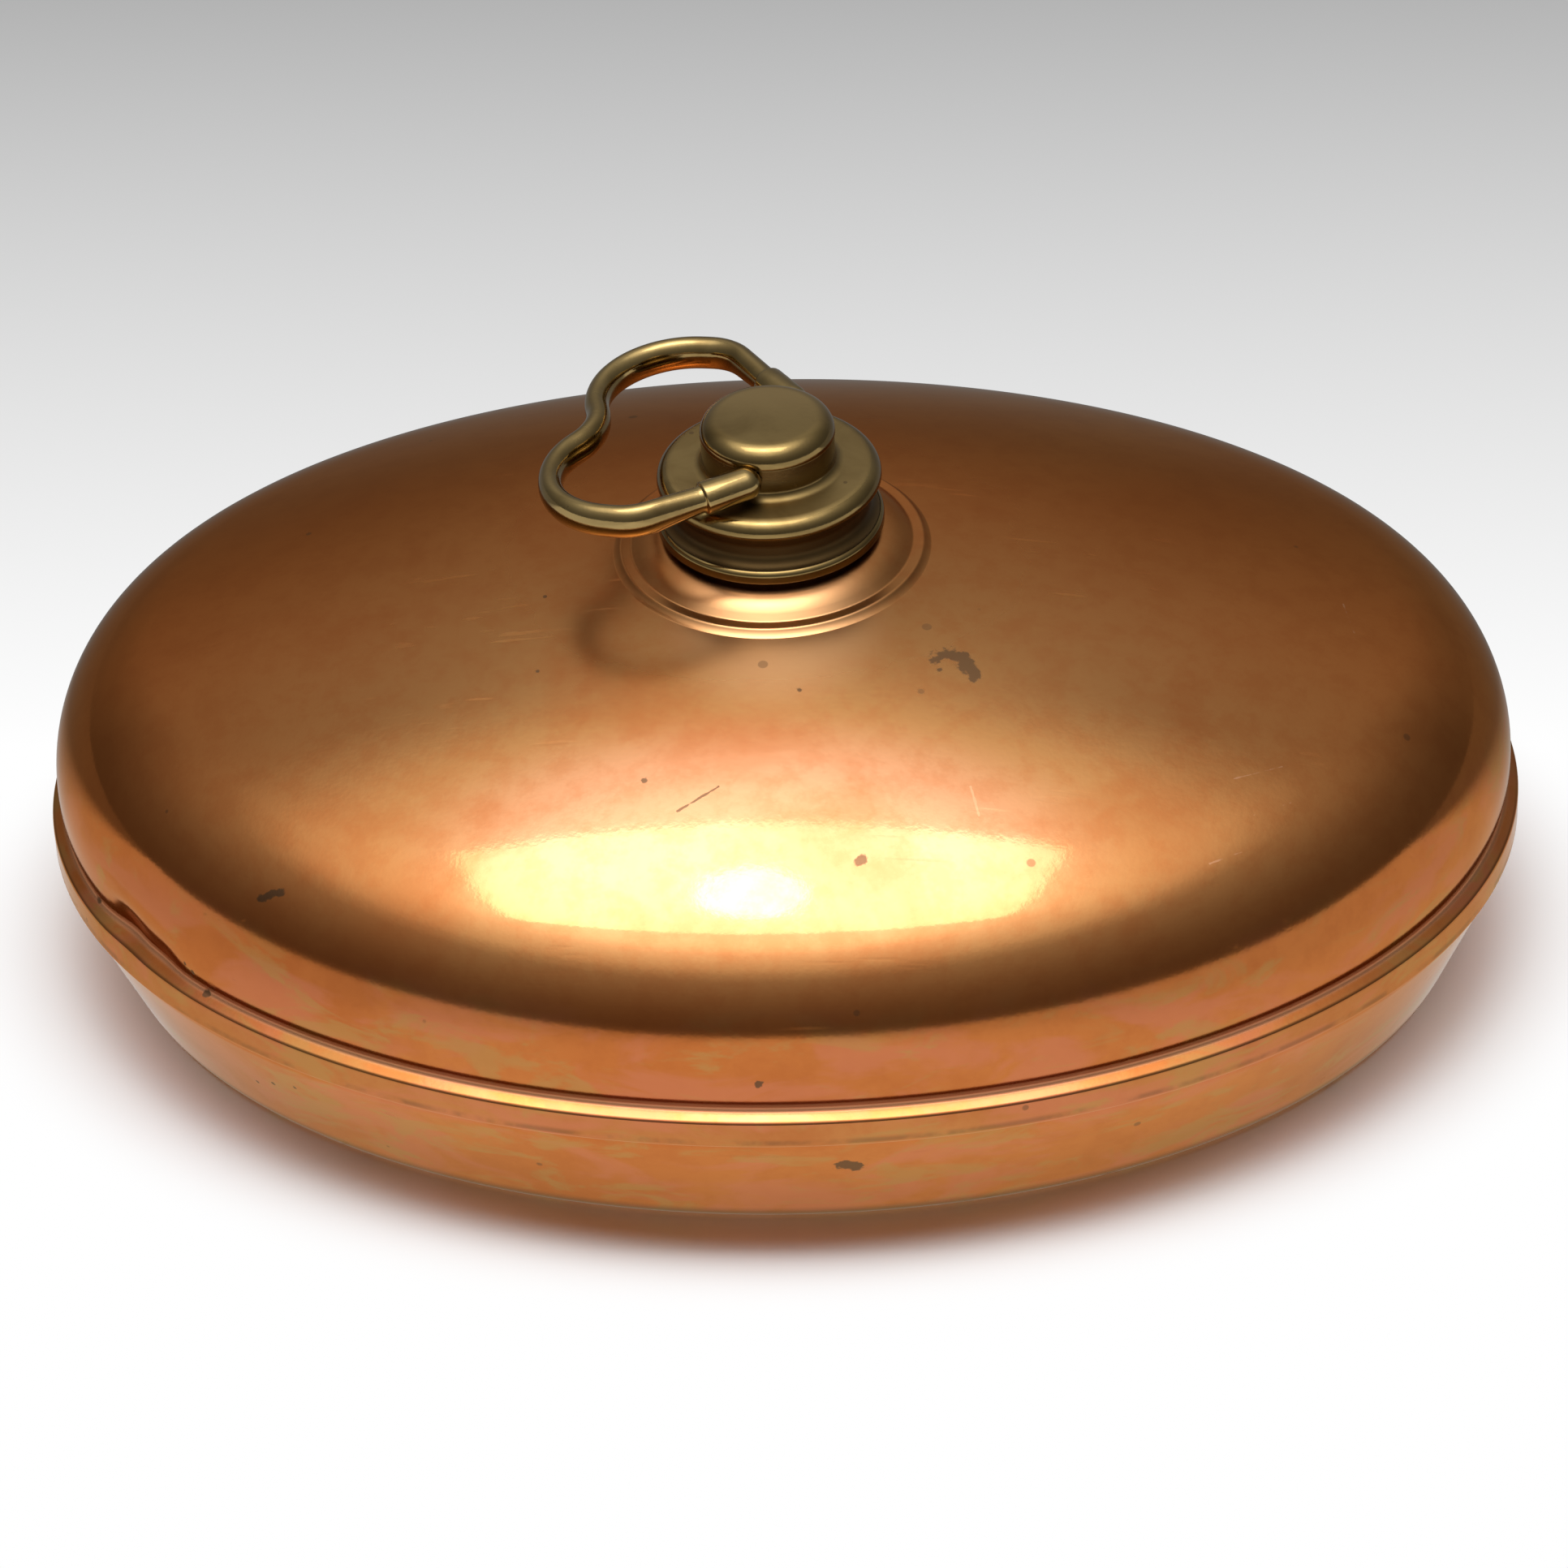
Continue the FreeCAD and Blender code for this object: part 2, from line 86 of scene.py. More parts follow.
# A thin pale band along the skirt's edge is a painted highlight.
SKIRT_EDGE_HIGHLIGHT = ((28.4, 28.6), (28.8, 29.0), 0.6)
LAP_GRIME = ((29.0, 29.4), (29.7, 30.8), 0.4)
# Paler copper in the crease above the shelf, where it shows dark, is painted light. This band also makes the
# crease rougher.
CREASE_PAINTED_LIGHT = ((35.2, 35.7), (36.8, 37.8), 0.7)
# Stains and scratches as (start, end, half width) and spots as (middle, half width), in millimetres.
STAINS = [
    ((33.7, -35.1, 88.9), (34.8, -33.8, 89.0), 1.3),
    ((34.8, -33.8, 89.0), (36.4, -33.4, 88.9), 1.9),
    ((36.4, -33.4, 88.9), (38.3, -34.3, 88.6), 1.8),
    ((38.3, -34.3, 88.6), (39.8, -36.3, 88.1), 1.6),
    ((39.8, -36.3, 88.1), (40.9, -38.4, 87.6), 1.8),
    ((-97.0, -75.3, 61.2), (-92.6, -75.9, 63.5), 0.8),
    ((16.0, -107.0, 21.0), (18.5, -106.3, 19.8), 1.75),
    ((-15.4, -71.9, 79.6), (-7.7, -67.0, 81.8), 0.25),
    ((-135.2, -41.4, 35.8), (-134.6, -42.6, 35.9), 0.9),
    # This stroke darkens the fold of the dent and is painted shade.
    ((-130.5, -50.5, 36.6), (-120.0, -63.5, 36.6), 0.7),
    ((-113.6, -69.7, 37.6), (-113.2, -70.0, 37.4), 0.5),
]
SPOTS = [
    ((34.3, -37.9, 88.4), 0.7), ((20.2, -81.5, 75.1), 1.2), ((7.2, -44.9, 88.7), 0.6),
    ((-22.2, -65.0, 81.9), 0.7), ((0.5, -109.4, 43.0), 1.0), ((-44.4, -14.7, 89.9), 0.5),
    ((-44.5, -36.7, 87.4), 0.5), ((-114.4, -69.3, 40.4), 0.6), ((-112.9, -70.6, 39.0), 0.65),
    ((-110.1, -72.6, 35.6), 0.8), ((-101.7, -73.6, 14.0), 0.55), ((-97.8, -77.8, 17.0), 0.5),
    ((-93.0, -82.2, 19.5), 0.55),
]
SCRATCHES = [
    ((40.7, -65.1, 80.2), (42.4, -71.0, 77.7), 0.25),
    ((91.3, -54.9, 74.3), (100.7, -49.8, 73.4), 0.22),
    ((86.5, -73.6, 68.0), (92.7, -69.8, 67.9), 0.2),
    ((113.6, 0.4, 76.4), (115.5, -8.3, 75.6), 0.22),
    ((95.1, -62.0, 70.9), (102.2, -57.5, 70.4), 0.2),
]


def add_node(tree, kind, inputs=(), **settings):
    """Node with its settings, and its inputs set to values or linked to sockets."""
    node = tree.nodes.new(kind)
    for name, value in settings.items():
        setattr(node, name, value)
    for key, value in dict(inputs).items():
        if isinstance(value, bpy.types.NodeSocket):
            tree.links.new(value, node.inputs[key])
        else:
            node.inputs[key].default_value = value
    return node


def calc(tree, operation, *values, clamp=False):
    """Output of a math node."""
    node = add_node(tree, "ShaderNodeMath", enumerate(values), operation=operation, use_clamp=clamp)
    return node.outputs[0]


def vector_calc(tree, operation, *values):
    """Output of a vector math node: a value for a dot product or a distance, else a vector."""
    node = add_node(tree, "ShaderNodeVectorMath", enumerate(values), operation=operation)
    return node.outputs["Value" if operation in ("DOT_PRODUCT", "DISTANCE") else "Vector"]


def new_tree(name, **inputs):
    """Geometry tree with named inputs of the given kinds, and the sockets that bring them in."""
    tree = bpy.data.node_groups.new(name, "GeometryNodeTree")
    tree.interface.new_socket("Geometry", in_out="OUTPUT", socket_type="NodeSocketGeometry")
    tree.interface.new_socket("Geometry", in_out="INPUT", socket_type="NodeSocketGeometry")
    for socket, kind in inputs.items():
        tree.interface.new_socket(socket, in_out="INPUT", socket_type="NodeSocket" + kind)
    return tree, tree.nodes.new("NodeGroupInput").outputs


def end_tree(tree, geometry, metal):
    """Ends a geometry tree with real geometry in its material."""
    whole = add_node(tree, "GeometryNodeRealizeInstances", {"Geometry": geometry})
    faced = add_node(tree, "GeometryNodeSetMaterial", {"Geometry": whole.outputs[0], "Material": metal})
    tree.links.new(faced.outputs[0], tree.nodes.new("NodeGroupOutput").inputs[0])
    return tree


def grown(mesh, tree, **inputs):
    """Plain mesh that a geometry tree makes from a mesh."""
    seed = bpy.data.objects.new("seed", mesh)
    bpy.context.scene.collection.objects.link(seed)
    modifier = seed.modifiers.new("tree", "NODES")
    modifier.node_group = tree
    for item in tree.interface.items_tree:
        if item.in_out == "INPUT" and item.name in inputs:
            modifier[item.identifier] = inputs[item.name]
    made = bpy.data.meshes.new_from_object(seed.evaluated_get(bpy.context.evaluated_depsgraph_get()))
    bpy.data.objects.remove(seed)
    made.shade_smooth()
    return made


def make_ring_sweep():
    """Carries a section round the upright axis; its points are the sizes and heights of ovals."""
    tree, given = new_tree("ring_sweep", Sides="Int", Metal="Material")
    columns = calc(tree, "ADD", given["Sides"], 1.0)
    size = add_node(tree, "GeometryNodeAttributeDomainSize", {0: given["Geometry"]}, component="MESH")
    inputs = {"Vertices X": size.outputs["Point Count"], "Vertices Y": columns}
    grid = add_node(tree, "GeometryNodeMeshGrid", inputs)
    index = tree.nodes.new("GeometryNodeInputIndex").outputs[0]
    row = calc(tree, "FLOOR", calc(tree, "DIVIDE", calc(tree, "ADD", index, 0.5), columns))
    column = calc(tree, "SUBTRACT", index, calc(tree, "MULTIPLY", row, columns))
    turn = calc(tree, "DIVIDE", calc(tree, "MULTIPLY", column, 2 * math.pi), given["Sides"])
    place = tree.nodes.new("GeometryNodeInputPosition").outputs[0]
    inputs = {"Geometry": given["Geometry"], "Value": place, "Index": row}
    level = add_node(tree, "GeometryNodeSampleIndex", inputs, data_type="FLOAT_VECTOR")
    oval = add_node(tree, "ShaderNodeSeparateXYZ", {0: level.outputs[0]}).outputs
    along = calc(tree, "MULTIPLY", oval[0], calc(tree, "COSINE", turn))
    across = calc(tree, "MULTIPLY", oval[1], calc(tree, "SINE", turn))
    point = add_node(tree, "ShaderNodeCombineXYZ", {0: along, 1: across, 2: oval[2]}).outputs[0]
    wall = add_node(tree, "GeometryNodeSetPosition", {"Geometry": grid.outputs[0], "Position": point})
    shut = add_node(tree, "GeometryNodeMergeByDistance", {"Geometry": wall.outputs[0], "Distance": 1e-6})
    outward = add_node(tree, "GeometryNodeFlipFaces", {"Mesh": shut.outputs[0]})
    return end_tree(tree, outward.outputs[0], given["Metal"])


def swept(name, section, sides, metal):
    """Closed wall through a section of ovals, listed with the metal on the left."""
    mesh = bpy.data.meshes.new(name)
    mesh.from_pydata([Vector(oval) * MM for oval in section], [], [])
    mesh = grown(mesh, ring_sweep, Sides=sides, Metal=metal)
    mesh.name = name
    return mesh


def add_piece(mesh, body, node):
    """Shows a mesh in place of a node of the frame, and lets it ride on the node's body."""
    piece = bpy.data.objects.new(mesh.name, mesh)
    bpy.context.scene.collection.objects.link(piece)
    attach(piece, body)
    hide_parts(node)


def softened(corners, guard=0.15):
    """Points of a section through (across, height, rounding) corners, with one near each end of an arc."""
    points = [Vector(corner[:2]) for corner in corners]
    section = []
    for i, point in enumerate(points):
        rounding = corners[i][2]
        if rounding == 0 or i in (0, len(points) - 1):
            section.append(tuple(point))
            continue
        before = points[i - 1] - point
        after = points[i + 1] - point
        half = before.angle(after) / 2
        tangent = rounding / math.tan(half)
        middle = before.normalized() + after.normalized()
        centre = point + middle.normalized() * (rounding / math.sin(half))
        start = point + before.normalized() * tangent
        end = point + after.normalized() * tangent
        if before.length > tangent + 2 * guard:
            section.append(tuple(start + before.normalized() * guard))
        angle = math.atan2(start.y - centre.y, start.x - centre.x)
        turn = math.atan2(end.y - centre.y, end.x - centre.x) - angle
        turn = (turn + math.pi) % (2 * math.pi) - math.pi
        steps = max(4, round(abs(turn) / math.radians(7)))
        for step in range(steps + 1):
            bearing = angle + turn * step / steps
            section.append((centre.x + rounding * math.cos(bearing), centre.y + rounding * math.sin(bearing)))
        if after.length > tangent + 2 * guard:
            section.append(tuple(end + after.normalized() * guard))
    return section


def inner_side(corners):
    """Corners of the other side of the sheet, on the left of a section's corners."""
    points = [Vector(corner[:2]) for corner in corners]
    runs = [(b - a).normalized() for a, b in zip(points, points[1:])]
    inner = []
    for i, point in enumerate(points):
        before = runs[max(i - 1, 0)]
        after = runs[min(i, len(runs) - 1)]
        left = Vector((-before.y - after.y, before.x + after.x)) / (1 + before.dot(after))
        turns_left = before.x * after.y - before.y * after.x > 0
        rounding = corners[i][2] and corners[i][2] + (-SHEET if turns_left else SHEET)
        inner.append((*(point + left * SHEET), max(rounding, 0.05) if rounding else 0))
    return inner


def body_oval(inset, height):
    """Level oval of the body, drawn in by an inset."""
    return BODY_HALF_LENGTH - inset, BODY_HALF_WIDTH - inset, height


def pan_ovals(corners):
    """Ovals of one side of the pan, from the middle of its panel to its rim."""
    wall = [body_oval(-across, height) for across, height in softened(corners)]
    panel = [tuple(size * share for size in wall[0][:2]) + wall[0][2:] for share in (0, 0.3, 0.6, 0.85)]
    return panel + wall


def ramp(tree, value, low, high, to_low=0.0, to_high=1.0):
    """Output of a smooth map from one range to another."""
    inputs = {"Value": value, "From Min": low, "From Max": high, "To Min": to_low, "To Max": to_high}
    return add_node(tree, "ShaderNodeMapRange", inputs, interpolation_type="SMOOTHSTEP").outputs[0]


def band(tree, height, fade_in, fade_out, strength):
    """Mask of a band of heights, whose fades are given in millimetres."""
    above = ramp(tree, height, fade_in[0] * MM, fade_in[1] * MM, 0.0, strength)
    return calc(tree, "MULTIPLY", above, ramp(tree, height, fade_out[1] * MM, fade_out[0] * MM))


def mixed(tree, factor, first, second):
    """Colour output of a mix of two colours."""
    return add_node(tree, "ShaderNodeMix", {0: factor, 6: first, 7: second}, data_type="RGBA").outputs[2]


def noise(tree, place, scale, detail=3.0, roughness=0.5, distortion=0.0):
    """Value output of a noise texture."""
    inputs = {"Vector": place, "Scale": scale, "Detail": detail}
    inputs |= {"Roughness": roughness, "Distortion": distortion}
    return add_node(tree, "ShaderNodeTexNoise", inputs).outputs[0]


def new_group(name, inputs, outputs):
    """Shader node group with vector and value inputs and value outputs, and its inner sockets."""
    tree = bpy.data.node_groups.new(name, "ShaderNodeTree")
    for socket, kind in inputs.items():
        tree.interface.new_socket(socket, in_out="INPUT", socket_type="NodeSocket" + kind)
    for socket in outputs:
        tree.interface.new_socket(socket, in_out="OUTPUT", socket_type="NodeSocketFloat")
    return tree, tree.nodes.new("NodeGroupInput").outputs, tree.nodes.new("NodeGroupOutput").inputs


def make_handling_marks():
    """What years of rubbing leave on metal: cloudy smudges, fine crossing scratches and small dark specks."""
    inputs = {"Place": "Vector", "Scale": "Float"}
    tree, given, result = new_group("handling_marks", inputs, ("Smudges", "Scratches", "Specks"))
    place = vector_calc(tree, "MULTIPLY", given["Place"], given["Scale"])
    tree.links.new(noise(tree, place, 22.0, 5.0, 0.6, 0.6), result["Smudges"])
    lines = []
    for turn, stretch in ((0.5, 6.0), (2.2, 9.0)):
        inputs = {"Vector": place, "Rotation": (0.3, 0.2, turn), "Scale": (stretch, 420.0, 420.0)}
        streak = noise(tree, add_node(tree, "ShaderNodeMapping", inputs).outputs[0], 1.0, 2.0)
        lines.append(ramp(tree, streak, 0.66, 0.74))
    where = ramp(tree, noise(tree, place, 30.0, 2.0), 0.45, 0.62)
    tree.links.new(calc(tree, "MULTIPLY", calc(tree, "MAXIMUM", *lines), where), result["Scratches"])
    cells = add_node(tree, "ShaderNodeTexVoronoi", {"Vector": place, "Scale": 95.0}).outputs
    chosen = add_node(tree, "ShaderNodeSeparateColor", {0: cells["Color"]}).outputs[0]
    size = ramp(tree, chosen, 0.62, 1.0, 0.0, 0.11)
    speck = calc(tree, "SUBTRACT", size, cells["Distance"])
    tree.links.new(ramp(tree, speck, 0.0, 0.03), result["Specks"])
    return tree


def make_stroke():
    """A ragged mark along a short line on the surface; a spot ends where it starts."""
    inputs = {"Place": "Vector", "Start": "Vector", "End": "Vector", "Half Width": "Float", "Wobble": "Float"}
    tree, given, result = new_group("stroke", inputs, ("Mark",))
    line = vector_calc(tree, "SUBTRACT", given["End"], given["Start"])
    away = vector_calc(tree, "SUBTRACT", given["Place"], given["Start"])
    travel = vector_calc(tree, "DOT_PRODUCT", away, line)
    share = calc(tree, "DIVIDE", travel, vector_calc(tree, "DOT_PRODUCT", line, line), clamp=True)
    nearest = vector_calc(tree, "MULTIPLY_ADD", line, share, given["Start"])
    distance = vector_calc(tree, "DISTANCE", given["Place"], nearest)
    edge = calc(tree, "ADD", calc(tree, "DIVIDE", distance, given["Half Width"]), given["Wobble"])
    tree.links.new(ramp(tree, edge, 1.15, 0.7), result["Mark"])
    return tree


def use_group(tree, group, inputs):
    """Outputs of a group placed in a material with its own values."""
    return add_node(tree, "ShaderNodeGroup", inputs, node_tree=group).outputs


def strokes(tree, place, wobble, marks):
    """Mask of a list of strokes."""
    mask = 0.0
    for start, end, half_width in marks:
        inputs = {"Place": place, "Start": Vector(start) * MM, "End": Vector(end) * MM}
        inputs |= {"Half Width": half_width * MM, "Wobble": wobble}
        mask = calc(tree, "MAXIMUM", use_group(tree, stroke, inputs)["Mark"], mask)
    return mask


def add_relief(tree, shader, height, strength, depth):
    """Gives a shader the fine relief of a height."""
    bump = add_node(tree, "ShaderNodeBump", {"Height": height, "Strength": strength, "Distance": depth})
    tree.links.new(bump.outputs[0], shader.inputs["Normal"])


def new_material(name):
    """Empty material: itself, its tree, its shader and its Object coordinates."""
    material = bpy.data.materials.new(name)
    material.use_nodes = True
    tree = material.node_tree
    place = tree.nodes.new("ShaderNodeTexCoord").outputs["Object"]
    return material, tree, tree.nodes["Principled BSDF"], place


def make_copper():
    """Old rubbed copper, golden on its worn skirt, heat-tinted, stained, scratched, painted with highlights
    and shade.
    """
    material, tree, shader, place = new_material("worn_copper")
    marks = use_group(tree, handling_marks, {"Place": place, "Scale": 1.0})
    height = add_node(tree, "ShaderNodeSeparateXYZ", {0: place}).outputs[2]
    tone = mixed(tree, ramp(tree, noise(tree, place, 9.0, 3.0, 0.55, 0.4), 0.35, 0.65), COPPER, COPPER_GOLDEN)
    # Paler golden copper on the front of the dome is a painted highlight. On the skirt's band the same tone
    # is real wear.
    from_sheen = vector_calc(tree, "DISTANCE", vector_calc(tree, "MULTIPLY", place, SHEEN_SCALE), SHEEN_MIDDLE)
    worn_and_sheen = ramp(tree, from_sheen, 0.105, 0.03, 0.0, 0.95)
    worn_and_sheen = calc(tree, "MULTIPLY", worn_and_sheen, ramp(tree, height, 0.054, 0.066))
    worn_and_sheen = calc(tree, "MAXIMUM", worn_and_sheen, band(tree, height, *SKIRT_WEAR))
    tone = mixed(tree, worn_and_sheen, tone, COPPER_WORN_AND_SHEEN)
    # Whiter copper in the middle of the softbox's reflection is a painted highlight.
    from_painted_highlight = vector_calc(tree, "MULTIPLY", place, PAINTED_HIGHLIGHT_SCALE)
    from_painted_highlight = vector_calc(tree, "DISTANCE", from_painted_highlight, PAINTED_HIGHLIGHT_MIDDLE)
    tone = mixed(tree, ramp(tree, from_painted_highlight, 0.030, 0.014), tone, COPPER_PAINTED_HIGHLIGHT)
    tone = mixed(tree, ramp(tree, marks["Smudges"], 0.48, 0.72, 0.0, 0.42), tone, COPPER_RED)
    grain = ramp(tree, noise(tree, place, 150.0, 5.0, 0.7), 0.40, 0.66, 0.0, 0.27)
    tone = mixed(tree, grain, tone, COPPER_RED)
    # Lighter copper on the front of the boss is a painted highlight.
    from_boss_highlight = vector_calc(tree, "DISTANCE", place, BOSS_HIGHLIGHT_MIDDLE)
    tone = mixed(tree, ramp(tree, from_boss_highlight, 0.026, 0.008, 0.0, 0.85), tone, COPPER_BOSS_HIGHLIGHT)
    on_wall = ramp(tree, height, 0.060, 0.048)
    lying = vector_calc(tree, "MULTIPLY", place, (1.0, 1.0, 2.4))
    pink = ramp(tree, noise(tree, lying, 38.0, 4.0, 0.55, 0.6), 0.46, 0.62, 0.0, 0.6)
    yellow = ramp(tree, noise(tree, lying, 52.0, 4.0, 0.6, 0.8), 0.50, 0.64, 0.0, 0.65)
    tone = mixed(tree, calc(tree, "MULTIPLY", on_wall, pink), tone, HEAT_PINK)
    tone = mixed(tree, calc(tree, "MULTIPLY", on_wall, yellow), tone, HEAT_YELLOW)
    # Paler copper in the crease above the shelf is painted light.
    crease_painted_light = band(tree, height, *CREASE_PAINTED_LIGHT)
    tone = mixed(tree, crease_painted_light, tone, COPPER_FRESH_AND_LIT)
    wobble = ramp(tree, noise(tree, place, 420.0, 3.0, 0.6), 0.25, 0.75, -0.5, 0.5)
    scratched = strokes(tree, place, wobble, SCRATCHES)
    tone = mixed(tree, calc(tree, "MULTIPLY", scratched, 0.7), tone, COPPER_FRESH_AND_LIT)
    spots = [(middle, middle, half_width) for middle, half_width in SPOTS]
    # The stains are real, except the stroke along the dent, which is painted shade.
    stains_and_dent_shade = calc(tree, "MULTIPLY", strokes(tree, place, wobble, STAINS + spots), 0.85)
    dirt_and_painted_shade = calc(tree, "MAXIMUM", stains_and_dent_shade, calc(tree, "MULTIPLY", marks["Specks"], 0.5))
    patches = ramp(tree, noise(tree, place, 70.0, 4.0, 0.6), 0.42, 0.6)
    in_lap = calc(tree, "MULTIPLY", band(tree, height, *LAP_GRIME), patches)
    # Darker copper near the foot, where it meets the table, is painted shade.
    foot_painted_shade = ramp(tree, height, 0.0050, 0.0020, 0.0, 0.7)
    dirt_and_painted_shade = calc(tree, "MAXIMUM", dirt_and_painted_shade, calc(tree, "MAXIMUM", in_lap, foot_painted_shade))
    # A pale line along the skirt's edge is a painted highlight.
    tone = mixed(tree, band(tree, height, *SKIRT_EDGE_HIGHLIGHT), tone, COPPER_FRESH_AND_LIT)
    tone = mixed(tree, dirt_and_painted_shade, tone, STAIN_AND_SHADE_BROWN)
    tree.links.new(tone, shader.inputs["Base Color"])
    on_crown = ramp(tree, height, 0.079, 0.091, 0.05, 0.26)
    rough = calc(tree, "MAXIMUM", ramp(tree, height, 0.050, 0.064, 0.13, 0.05), on_crown)
    rough = calc(tree, "MULTIPLY_ADD", crease_painted_light, 0.45, rough)
    rough = calc(tree, "MULTIPLY_ADD", marks["Smudges"], 0.05, rough)
    rough = calc(tree, "MULTIPLY_ADD", dirt_and_painted_shade, 0.25, rough)
    rough = calc(tree, "MULTIPLY_ADD", marks["Scratches"], 0.12, rough)
    tree.links.new(rough, shader.inputs["Roughness"])
    shader.inputs["Metallic"].default_value = 1.0
    shader.inputs["Specular Tint"].default_value = COPPER_AT_EDGE
    fine = calc(tree, "MULTIPLY_ADD", marks["Scratches"], -0.6, noise(tree, place, 900.0, 2.0))
    add_relief(tree, shader, fine, 0.04, 0.0002)
    return material


ring_sweep = make_ring_sweep()
handling_marks = make_handling_marks()
stroke = make_stroke()
worn_copper = make_copper()
pan_corners = [
    (-DISH_INSET - 20, DISH_DEPTH, 0),
    (-DISH_INSET - DISH_DEPTH, DISH_DEPTH, DISH_ROUNDING),
    (-DISH_INSET, 0, DISH_ROUNDING),
    (-BASE_INSET, 0, BASE_CORNER_RADIUS),
    (-RIM_INSET, KNEE_HEIGHT, KNEE_RADIUS),
    (-RIM_INSET, RIM_TOP, 0),
]
pan_section = pan_ovals(pan_corners) + pan_ovals(inner_side(pan_corners))[::-1]
add_piece(swept("lower_pan", pan_section, SHELL_SIDES, worn_copper), "bottle", "lower_shell")

# Upper half: the domed top, pressed from the same sheet. A skirt laps over the pan's rim, a sloping shelf
# steps in from it to a wall that bulges out again, and the dome runs up to an embossed ring and boss round
# the filler hole. Its sheet is dented beside the seam at the left.
SKIRT_EDGE = 28.7
SKIRT_EDGE_ROUNDING = 0.2
SHELF_START = 34.4
SHELF_END = 35.75
SHELF_WIDTH = 2.8
SHELF_ROUNDING = 1.0
WALL_INSET = 1.8
BULGE_END = 39.75
BULGE_RADIUS = 15.5
WALL_START = BULGE_END + 2.3
SHOULDER_START = 43.0
SHOULDER_ALONG = 31.2
SHOULDER_ACROSS = 30.0
DOME_RISE = 48.5
RING_RADIUS = 31.6
RING_HEIGHT = SHOULDER_START + DOME_RISE
RISER_RUN = 1.3
LEDGE_WIDTH = 2.2
LEDGE_HEIGHT = RING_HEIGHT + 1.4
LEDGE_ROUNDING = 0.7
BOSS_RUN = 4.2
BOSS_HEIGHT = LEDGE_HEIGHT + 3.6
BOSS_ROUNDING = 10.0
HOLE_RADIUS = 18.95
DENT_MIDDLE = Vector((-125.5, -57.5, 38.5)) * MM
DENT_REACH = Vector((10.0, 10.0, 4.5)) * MM
DENT_DEPTH = 2.0 * MM
DENT_WOBBLE = 0.25
DENT_WAVES = 520
OUTER_STEPS = 60
INNER_STEPS = 20


def crown_arc(wall_half, shoulder_radius):
    """Radius and centre height of the crown arc that runs into the shoulder arc and meets the ring."""
    slope = -DOME_RISE / shoulder_radius
    level = shoulder_radius**2 + RING_RADIUS**2 - (wall_half - shoulder_radius) ** 2
    level = (level + RING_HEIGHT**2 - SHOULDER_START**2) / (2 * shoulder_radius)
    a = slope**2 - 1
    b = 2 * (level * slope + RING_HEIGHT)
    c = level**2 - RING_RADIUS**2 - RING_HEIGHT**2
    centre = (-b - math.sqrt(b * b - 4 * a * c)) / (2 * a)
    return math.hypot(RING_RADIUS, RING_HEIGHT - centre), centre


def dome_half(height, wall_half, shoulder_radius, depth):
    """Half width of the dome at a height, at a depth through the sheet."""
    crown_radius, crown_centre = crown_arc(wall_half, shoulder_radius)
    to_shoulder = (SHOULDER_START - crown_centre) / (crown_radius - shoulder_radius)
    if height <= SHOULDER_START + (shoulder_radius - depth) * to_shoulder:
        rise = max(height - SHOULDER_START, 0)
        return wall_half - shoulder_radius + math.sqrt((shoulder_radius - depth) ** 2 - rise**2)
    return math.sqrt((crown_radius - depth) ** 2 - (height - crown_centre) ** 2)


def dome_ovals(depth, dome_steps):
    """Ovals of one side of the upper half, from the skirt's edge to the filler hole."""
    seam = [
        (0, SKIRT_EDGE, 0),
        (0, SHELF_START, SHELF_ROUNDING),
        (-SHELF_WIDTH, SHELF_END, SHELF_ROUNDING),
        (-WALL_INSET, BULGE_END, BULGE_RADIUS),
        (-WALL_INSET, WALL_START, 0),
    ]
    seam = inner_side(seam) if depth else seam
    seam[0] = (-depth, SKIRT_EDGE, SKIRT_EDGE_ROUNDING)
    seam = softened([(-SHEET / 2, SKIRT_EDGE, 0)] + seam)
    ovals = [body_oval(-across, height) for across, height in seam]
    for i in range(dome_steps):
        height = SHOULDER_START + (DOME_RISE - depth) * math.sin(math.pi / 2 * i / dome_steps)
        along = dome_half(height, BODY_HALF_LENGTH - WALL_INSET, SHOULDER_ALONG, depth)
        across = dome_half(height, BODY_HALF_WIDTH - WALL_INSET, SHOULDER_ACROSS, depth)
        ovals.append((along, across, height))
    ledge_radius = RING_RADIUS - RISER_RUN
    boss = [
        (RING_RADIUS, RING_HEIGHT, 0),
        (ledge_radius, LEDGE_HEIGHT, LEDGE_ROUNDING),
        (ledge_radius - LEDGE_WIDTH, LEDGE_HEIGHT, LEDGE_ROUNDING),
        (ledge_radius - LEDGE_WIDTH - BOSS_RUN, BOSS_HEIGHT, BOSS_ROUNDING),
        (HOLE_RADIUS, BOSS_HEIGHT, 0),
    ]
    boss = softened(inner_side(boss) if depth else boss)
    return ovals + [(radius, radius, height) for radius, height in boss]


dome_section = dome_ovals(0, OUTER_STEPS) + dome_ovals(SHEET, INNER_STEPS)[::-1]
dome = swept("upper_dome", dome_section + dome_section[:1], SHELL_SIDES, worn_copper)
for vert in dome.vertices:
    away = vert.co - DENT_MIDDLE
    share = sum((away[k] / DENT_REACH[k]) ** 2 for k in range(3))
    wobble = 1 + DENT_WOBBLE * math.sin(vert.co.x * DENT_WAVES)
    inward = Vector((-vert.co.x, -vert.co.y, 0)).normalized()
    vert.co += inward * DENT_DEPTH * math.exp(-share) * wobble
add_piece(dome, "bottle", "upper_shell")

# Solder: soft solder runs in the lap between skirt and rim and keeps the seam tight, and a fillet of it under
# the boss holds the filler neck. Both keep the shape of the frame's nodes.
SOLDER_GREY = (0.42, 0.42, 0.40, 1)
SOLDER_DULL = (0.25, 0.245, 0.23, 1)


